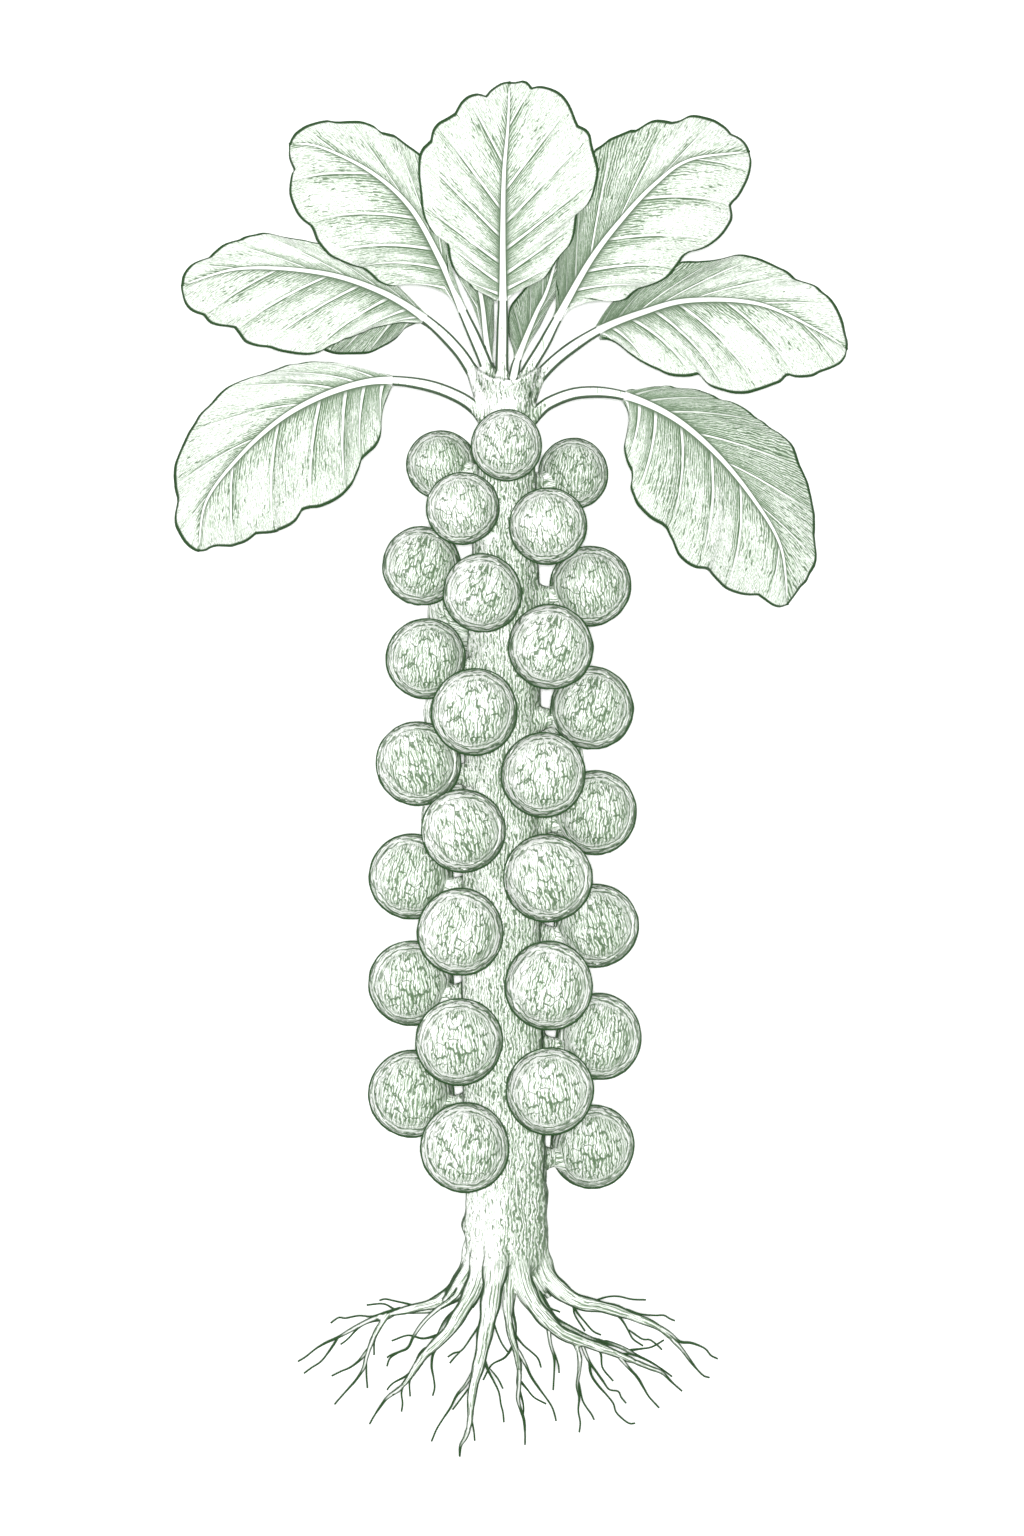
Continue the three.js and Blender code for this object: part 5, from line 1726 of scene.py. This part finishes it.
# The front roots, each with its side roots after it, and last the webs of skin in three forks.
FRONT_ROOTS = [
    Root("far_left", (27, 5.5), [478, 1226, 475, 1246, 468, 1268, 455, 1288, 436, 1303, 415, 1309,
         392, 1315, 378, 1320], (1, -1, -5, -9, -12)),
    Root("far_left_a", (2.4, 1), [412, 1306, 395, 1302.5, 385, 1300.5, 379, 1302]),
    Root("far_left_b", (3.2, 1), [400, 1309, 385, 1314, 372, 1318, 358, 1317.5, 345, 1320,
         338, 1319.5, 330, 1325]),
    Root("far_left_c", (6.5, 1), [382, 1317, 367, 1323, 352, 1331, 338, 1339, 325, 1345,
         315, 1351, 305, 1359, 297, 1364], droop=0.1),
    Root("far_left_c_d", (3, 1), [338, 1339, 328, 1354, 320, 1364, 311, 1370, 303, 1376]),
    Root("far_left_e", (8, 1), [388, 1315, 376, 1333, 370, 1347, 366, 1359, 363, 1370, 356, 1381,
         349, 1389, 340, 1399, 334, 1406], droop=-0.05),
    Root("far_left_e_f", (4.2, 1), [368, 1350, 360, 1361, 350, 1369, 341, 1373, 331, 1378]),
    Root("far_left_e_g", (2.4, 1), [366, 1360, 366, 1376, 367, 1390]),
    Root("left", (7.5, 1.5), [462, 1284, 455, 1296, 438, 1308, 424, 1321, 414, 1335, 408, 1347,
         398, 1352, 390, 1358, 387, 1366], (2, 5, 6, 5, 2)),
    Root("left_a", (2.4, 1), [404, 1349, 392, 1354, 387, 1357]),
    Root("mid_left", (27, 1), [485, 1238, 481, 1262, 473, 1288, 462, 1308, 449, 1328, 436, 1341,
         424, 1353, 415, 1366, 408, 1377, 400, 1386, 388, 1395, 381, 1404, 375, 1413, 370, 1422],
         (7, 13, 18, 21, 20, 16, 13)),
    Root("mid_left_a", (4.4, 1), [443, 1335, 434, 1350, 432, 1363, 434, 1375, 435, 1385,
         433, 1393]),
    Root("mid_left_b", (2.4, 1), [405, 1379, 402, 1390, 403, 1400, 402, 1409]),
    Root("mid_left_c", (2.2, 1), [404, 1384, 393, 1392]),
    Root("short_left", (3.6, 1), [484, 1305, 482, 1318, 472, 1334, 462, 1348, 454, 1351,
         448, 1355], (14, 17, 16, 13)),
    Root("short_left_a", (1.8, 1), [461, 1349, 455, 1355, 450, 1361]),
    Root("front", (30, 3.2), [498, 1238, 496, 1262, 492, 1290, 488, 1315, 484, 1335, 481, 1352,
         477, 1368, 473, 1385, 471, 1402, 470, 1418, 466, 1432, 461, 1441, 460, 1452],
         (13, 20, 26, 30, 31, 29, 26)),
    Root("front_tip", (2.6, 1), [471, 1412, 474, 1425, 475, 1436]),
    Root("front_a", (4.4, 1), [475, 1364, 466, 1380, 457, 1391, 451, 1403, 443, 1415, 437, 1425,
         432, 1437]),
    Root("front_b", (2.2, 1), [470, 1382, 462, 1393, 453, 1405]),
    Root("front_c", (3.6, 1), [482, 1347, 488, 1365, 494, 1377, 499, 1388, 501, 1400, 503, 1408,
         504, 1418]),
    Root("front_d", (1.8, 1), [490, 1364, 498, 1374, 503, 1384]),
    Root("front_e", (2.4, 1), [491, 1312, 500, 1336, 506, 1346, 510, 1350]),
    Root("mid_right", (15, 1.6), [510, 1250, 509, 1272, 508, 1292, 508, 1312, 511, 1332,
         516, 1350, 519, 1368, 519, 1385, 518, 1398, 521, 1410, 524, 1420, 525, 1433, 525, 1445],
         (12, 15, 14, 11, 7, 3, -1)),
    Root("mid_right_a", (3.2, 1), [511, 1328, 523, 1343, 531, 1350, 538, 1357, 541, 1366]),
    Root("mid_right_b", (4.4, 1), [516, 1345, 525, 1362, 531, 1375, 539, 1387, 547, 1398,
         552, 1406, 555, 1415, 556, 1420]),
    Root("right", (28, 1.6), [514, 1236, 519, 1262, 525, 1286, 535, 1304, 548, 1319, 560, 1330,
         575, 1337, 592, 1343, 608, 1349, 622, 1355, 636, 1361, 650, 1367, 662, 1372, 672, 1382,
         682, 1391], (10, 13, 15, 13, 10, 6, 1)),
    Root("right_a", (4.4, 1.4), [616, 1352, 628, 1366, 637, 1376, 643, 1386, 649, 1396, 659, 1407]),
    Root("right_b", (2, 1), [616, 1352, 628, 1352.5, 637, 1355]),
    Root("right_c", (5.4, 1), [548, 1321, 550, 1340, 554, 1355, 554, 1370, 553, 1388], droop=0.0),
    Root("right_c_d", (2.2, 1), [553, 1347, 558, 1362, 559, 1371]),
    Root("right_e", (6.5, 1), [572, 1335, 579, 1353, 579, 1368, 577, 1383, 579, 1395, 578, 1408,
         580, 1420, 579, 1430], droop=-0.04),
    Root("right_e_f", (2.6, 1), [578, 1378, 582, 1397, 586, 1405, 591, 1412, 594, 1418]),
    Root("right_g", (4.4, 1), [580, 1338, 588, 1358, 596, 1370, 603, 1380, 609, 1388, 618, 1390,
         621, 1396, 626, 1402]),
    Root("right_g_h", (3.2, 1), [589, 1360, 591, 1373, 598, 1384, 606, 1393, 613, 1402, 616, 1411,
         624, 1419, 630, 1422.5, 635, 1422]),
    Root("far_right", (28, 1), [533, 1226, 537, 1248, 545, 1272, 560, 1290, 580, 1302, 600, 1306,
         618, 1311, 634, 1317, 650, 1323, 662, 1330, 672, 1339, 682, 1350, 690, 1361, 697, 1370,
         704, 1377, 710, 1379], (1, 2, 3, 2, 0, -4, -9)),
    Root("far_right_a", (2.4, 1), [588, 1303, 605, 1297, 618, 1296, 632, 1299, 646, 1299.5],
         droop=0.0),
    Root("far_right_b", (3, 1), [608, 1308, 625, 1309, 640, 1314, 655, 1315.5, 664, 1315.5,
         670, 1319, 675, 1321]),
    Root("far_right_c", (5.4, 1), [656, 1325, 670, 1334, 680, 1342, 692, 1343.5, 705, 1349,
         711, 1356, 718, 1359.5]),
    Root("far_right_d", (3.4, 1), [602, 1307, 614, 1313, 622, 1320, 628, 1330, 633, 1339,
         643, 1346]),
    Root("far_right_d_e", (2.2, 1), [629, 1330, 642, 1339, 650, 1340, 658, 1346, 662, 1350]),
    Root("far_right_f", (3, 1), [568, 1298, 577, 1312, 585, 1322, 593, 1331, 601, 1335]),
    Root("far_right_g", (2, 1), [573, 1305, 575, 1315, 585, 1331]),
    Root("far_right_h", (2.2, 1), [540, 1290, 548, 1306, 560, 1312]),
    Root("web_left", (26, 8), [484, 1232, 473, 1259, 459, 1282, 444, 1301], (4, 3, 1, -2)),
    Root("web_mid_left", (22, 6), [492, 1240, 487, 1266, 479, 1288, 472, 1306], (9, 12, 12, 9)),
    Root("web_right", (26, 9), [524, 1234, 531, 1262, 540, 1282, 549, 1297], (7, 6, 3, -1)),
]
# The back roots' points across, up and towards the front, in millimetres.
BACK_ROOTS = [
    [(-11, 7, -8), (-26, -7, -23), (-45, -12, -35), (-59, -16, -43), (-76, -27, -50)],
    [(-8, 6, -12), (-20, -9, -24), (-33, -25, -36), (-42, -37, -43), (-54, -49, -49)],
    [(2, 6, -12), (2, -14, -26), (5, -30, -38), (6, -46, -46), (8, -60, -51)],
    [(10, 6, -10), (22, -15, -22), (42, -25, -33), (58, -31, -42), (75, -42, -50)],
]
# Height and radius of the crown's skin, which wraps the stem's foot and dives under it.
CROWN_PROFILE = (
    (-2, 0.4), (0, 6.0), (4, 11.5), (8, 15.2), (12, 17.4), (16, 18.2), (20, 18.3), (30, 18.5),
    (44, 17.95), (56, 17.2), (60, 15.0),
)

Line = tuple[Array, Array]


@dataclass
class Roots:
    """The roots: a crown under the stem, ridged by the roots that leave it, whose thick
    stretches are melted into it, and the finer roots that fork from them."""

    voxel: float = 0.62
    relax_rounds: int = 6
    step: float = 0.9
    lowest: float = -52.5
    thinnest: float = 0.42
    melted_radius: float = 1.15
    shortest: int = 4
    overlap: int = 5
    crown_height: float = 12.0

    def crown(self) -> Surface:
        """The blunt cone under the stem that the roots leave; its skin climbs over the stem's
        foot and dives under it with the same knobs."""
        heights = np.linspace(60, -1.9, 70)[:, None]
        angle = round_angles(72)
        radius = eased(CROWN_PROFILE, heights)
        radius = radius + stem_knobs(heights, angle) * ramp(heights, 0, 15)
        radius = radius + 0.3 * stem_ribs(heights, angle) * ramp(heights, 5, 30)
        return round_stem(heights, radius, angle)

    def lines(self) -> dict[str, Line]:
        """Every root's middle line and radii, parents before the roots that leave them."""
        made = {}
        for number, root in enumerate(FRONT_ROOTS):
            flat = on_grid(root.route)
            length = float(np.linalg.norm(np.diff(flat, axis=0), axis=1).sum())
            share = np.linspace(0, 1, max(6, int(length / self.step)))
            flat = spline(flat, even_places(flat, 0, 1, share))
            if root.heights:
                height = spline(np.array(root.heights, float)[:, None], share)[:, 0]
            else:
                parent = made[root.parent][0]
                at = np.linalg.norm(parent[:, :2] - flat[0], axis=1).argmin()
                height = parent[at, 2] - root.droop * length * share
            points = np.column_stack([flat, np.maximum(height, self.lowest)])
            made[root.name] = points, self.radii(root.widths, share, length, number)
        for number, route in enumerate(BACK_ROOTS):
            made.update(self.back_lines(np.array(route, float), number))
        return made

    def radii(self, widths: tuple[float, float], share: Array, length: float,
              number: int) -> Array:
        """A root's radii: an even taper, a little faster at first, with slight swellings.

        Args:
            widths: its width at both ends, in grid squares.
            share: how far along it each point is, from 0 to 1.
            length: its length in millimetres.
            number: its place in its list, which shifts the swellings.

        Returns:
            The radius at each point, in millimetres.
        """
        start, end = (width * GRID_SQUARE / 2 for width in widths)
        taper = end + (start - end) * (0.3 * (1 - share) ** 2.2 + 0.7 * (1 - share))
        swell = 1 + 0.07 * np.sin(TAU * (length / 14 * share + draw(number, 8)))
        tip = 1 - 0.35 * ramp(share, 0.9, 1.0)
        return np.maximum(taper * swell * tip, self.thinnest)

    def back_lines(self, route: Array, number: int) -> dict[str, Line]:
        """A hidden root at the back with two side roots, one to either side.

        Args:
            route: the points that it runs through.
            number: its place in its list.

        Returns:
            The three lines by name.
        """
        share = np.linspace(0, 1, 90)
        main = spline(route, share)
        for axis in range(3):
            swing = np.sin(TAU * (3.3 * share + draw(number, axis)))
            main[:, axis] += 0.7 * swing * ramp(share, 0.1, 0.4)
        main = raised(main, self.lowest)
        made = {f"back_{number}": (main, self.radii((13, 1.2), share, 80, number))}
        for i, start in enumerate((0.45, 0.7)):
            foot = main[int(start * 89)]
            ahead = unit(main[-1] - foot)
            lean = (0.55 + 0.3 * draw(i, number)) * (1 if i % 2 else -1)
            reach = 34 - 22 * start
            turned = np.array([ahead[0] * math.cos(lean) - ahead[1] * math.sin(lean),
                               ahead[0] * math.sin(lean) + ahead[1] * math.cos(lean),
                               ahead[2] * 0.4])
            knots = foot + np.outer([0, 0.3, 0.65, 1.0], turned * reach)
            knots[1] += ahead * 1.5
            knots[2] += np.array([turned[1], -turned[0], 0.0]) * 1.6
            s = np.linspace(0, 1, 34)
            side = raised(spline(knots, s), self.lowest)
            widths = (4.5 - 2.2 * start, 0.9)
            made[f"back_{number}_{i}"] = side, self.radii(widths, s, reach, i)
        return made

    def build(self, material: Material) -> None:
        """Makes the two pieces in the place of the roots' node: thick and fine roots."""
        shells, fine, thick = [self.crown()], [], []
        for line, radii in self.lines().values():
            count = int((radii > self.melted_radius).sum())
            start = 0
            if count > self.shortest:
                ends = ramp(np.arange(count)[::-1], -1, 6)
                shells.append(tube(line[:count], radii[:count] * (0.55 + 0.45 * ends), 16))
                thick.append((line[:count], radii[:count]))
                start = count - self.overlap
            rest = len(line) - start
            if rest > self.shortest:
                own = radii[start:] * (0.5 + 0.5 * ramp(np.arange(rest), -2, 4))
                fine.append(tube(line[start:], own, 8, 0.6))
        self.build_skin(shells, thick, material)
        hair = Surface.joined(fine)
        hair.points = raised(hair.points, FLOOR)
        mesh = fill_mesh("fine_roots", hair)
        tidy(mesh)
        finished("fine_roots", mesh, material, ("roots",))

    def build_skin(self, shells: list[Surface], thick: list[Line], material: Material) -> None:
        """Makes the crown and the thick roots as one skin.

        Folds run along the roots and knuckles stand round the crown. Strokes crowd as painted shade
        where the skin turns from the light, in hollows and low among the sprouts, and dark strips
        of painted shade run down both flanks.

        Args:
            shells: the crown and the roots, each closed.
            thick: the roots' middle lines and radii.
            material: the finish.
        """
        skin = Skin("root_skin", shells, self.voxel, self.relax_rounds)
        across, height, front = skin.across, skin.height, skin.front
        grain, radius, near_root = self.follow(skin.points, thick)
        on_root = ramp(16 - height, -4, 9) * ramp(near_root, 2.4, 0.6)
        folds = crinkle(grain[:, 0] * 1.4, grain[:, 1] * 0.25, 3.0, 9)
        knuckles = knuckled(height, np.arctan2(across, front)) * ramp(height, 8, 26)
        move = 0.14 * folds * on_root + 0.34 * knuckles
        # Painted shade: strokes crowd where the skin turns from the light, among the sprouts and in
        # hollows.
        cover = 0.30 + 1.0 * painted_shade_turn(skin.normals) * (1 - 0.30 * on_root) + 0.12 * on_root
        cover += 0.20 * ramp(height, 38, 78) + 0.12 * ramp(-knuckles, 0.2, 0.9)
        on_crown = height > self.crown_height
        # Painted shade: dark strips down both flanks.
        size = np.where(on_crown, 18.0, np.clip(radius, 1.0, 18.0))
        root_line = np.clip(0.45 + 0.13 * radius, 0.6, 0.95)
        width = np.where(on_crown, stem_shade_line(skin.normals), root_line)
        line = flank(skin.normals[:, 2], size, width)
        under_stem = ramp(19.5 - np.hypot(across, front), 0, 3)
        line *= 1 - 0.8 * under_stem * ramp(height, -12, -4)
        skin.dress(move, vectors(cover, line, on_root), grain)
        finished("root_skin", skin.mesh, material, ("roots",))

    def follow(self, points: Array, thick: list[Line]) -> tuple[Array, Array, Array]:
        """For each point, its place round and along the nearest root.

        Args:
            points: the skin's points.
            thick: the melted roots' middle lines and radii.

        Returns:
            The grain, the nearest root's radius there, and how far the point is from its skin.
        """
        lines = [line for line, _ in thick]
        middles = np.vstack(lines)
        size = np.concatenate([radii for _, radii in thick])
        frames = [tube_frame(line) for line in lines]
        across = np.vstack([frame[0] for frame in frames])
        up = np.vstack([frame[1] for frame in frames])
        lengths = np.concatenate([np.arange(len(line)) * self.step for line in lines])
        shift = np.concatenate([np.full(len(line), 3.0 * i) for i, line in enumerate(lines)])
        nearest = np.concatenate([
            (np.linalg.norm(chunk[:, None] - middles[None], axis=-1) - size[None]).argmin(axis=1)
            for chunk in np.array_split(points, max(1, len(points) // 4000))])
        offset = points - middles[nearest]
        out = np.linalg.norm(offset, axis=1) - size[nearest]
        turn = np.arctan2((offset * across[nearest]).sum(axis=1),
                          (offset * up[nearest]).sum(axis=1))
        return vectors(turn * size[nearest], lengths[nearest], shift[nearest]), size[nearest], out


# ------------------------ studio


@dataclass
class Studio:
    """A white floor, one light straight overhead, a weak large one at the upper left, an even
    sky, and a long lens that looks straight down. All in metres."""

    middle: tuple[float, float] = (0.001, -0.0008)
    view_height: float = 0.6912
    camera_height: float = 4.0
    plane_height: float = 0.056
    sensor_width: float = 36.0
    floor_half_width: float = 9.0
    floor_drop: float = 0.0002
    sky: float = 0.42
    overhead: float = 198.0
    aside: float = 14.0

    def floor(self) -> None:
        """A wide flat square just under the part."""
        half = self.floor_half_width
        mesh = bpy.data.meshes.new("floor")
        corners = [(x * half, y * half, -self.floor_drop)
                   for x, y in ((-1, -1), (1, -1), (1, 1), (-1, 1))]
        mesh.from_pydata(corners, [], [(0, 1, 2, 3)])
        mesh.materials.append(FloorFinish().material())
        floor = bpy.data.objects.new("floor", mesh)
        bpy.context.scene.collection.objects.link(floor)

    def light(self, name: str, place: tuple[float, float, float], size: float,
              power: float) -> None:
        """A square soft light that faces the part's middle."""
        lamp = bpy.data.lights.new(name, "AREA")
        lamp.size = size
        lamp.energy = power
        holder = bpy.data.objects.new(name, lamp)
        holder.location = place
        away = Vector(place) - Vector((0.0, 0.0, self.plane_height))
        holder.rotation_euler = away.to_track_quat("Z", "Y").to_euler()
        bpy.context.scene.collection.objects.link(holder)

    def camera(self) -> None:
        """A camera whose frame is view_height tall at the height of the stem's axis."""
        lens = bpy.data.cameras.new("camera")
        lens.sensor_width = self.sensor_width
        distance = self.camera_height - self.plane_height
        lens.lens = self.sensor_width * distance / self.view_height
        lens.clip_end = 50.0
        camera = bpy.data.objects.new("camera", lens)
        camera.location = (*self.middle, self.camera_height)
        bpy.context.scene.collection.objects.link(camera)
        bpy.context.scene.camera = camera

    def build(self) -> None:
        """Sets the whole studio up."""
        world = bpy.data.worlds.new("soft sky")
        world.use_nodes = True
        background = world.node_tree.nodes["Background"]
        background.inputs["Color"].default_value = (1.0, 1.0, 1.0, 1.0)
        background.inputs["Strength"].default_value = self.sky
        bpy.context.scene.world = world
        bpy.context.scene.view_settings.view_transform = "Standard"
        self.floor()
        self.light("overhead", (0.0, 0.0, 4.4), 0.16, self.overhead)
        self.light("upper left", (-1.5, 1.7, 2.6), 1.2, self.aside)
        self.camera()


# ------------------------ the plant


def main() -> None:
    """Builds the studio and then the plant, piece by piece."""
    logging.basicConfig(level=logging.INFO, format="%(name)s: %(message)s")
    Studio().build()
    sprouts = all_sprouts()
    fibre = FibreFinish().material()
    Stem(sprouts, LEAVES).build(fibre)
    Roots().build(fibre)
    leaf_finish = LeafFinish().material()
    for leaf in LEAVES:
        leaf.build(leaf_finish)
    buds = [Bud(seed).surface() for seed in range(BUD_PATTERNS)]
    plainer_buds = [Bud(seed, columns=44).surface() for seed in range(BUD_PATTERNS)]
    sprout_finish = SproutFinish().material()
    for sprout in sprouts:
        patterns = plainer_buds if sprout.behind else buds
        sprout.build(patterns[sprout.number % BUD_PATTERNS], sprout_finish)
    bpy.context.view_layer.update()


if __name__ == "__main__":
    main()
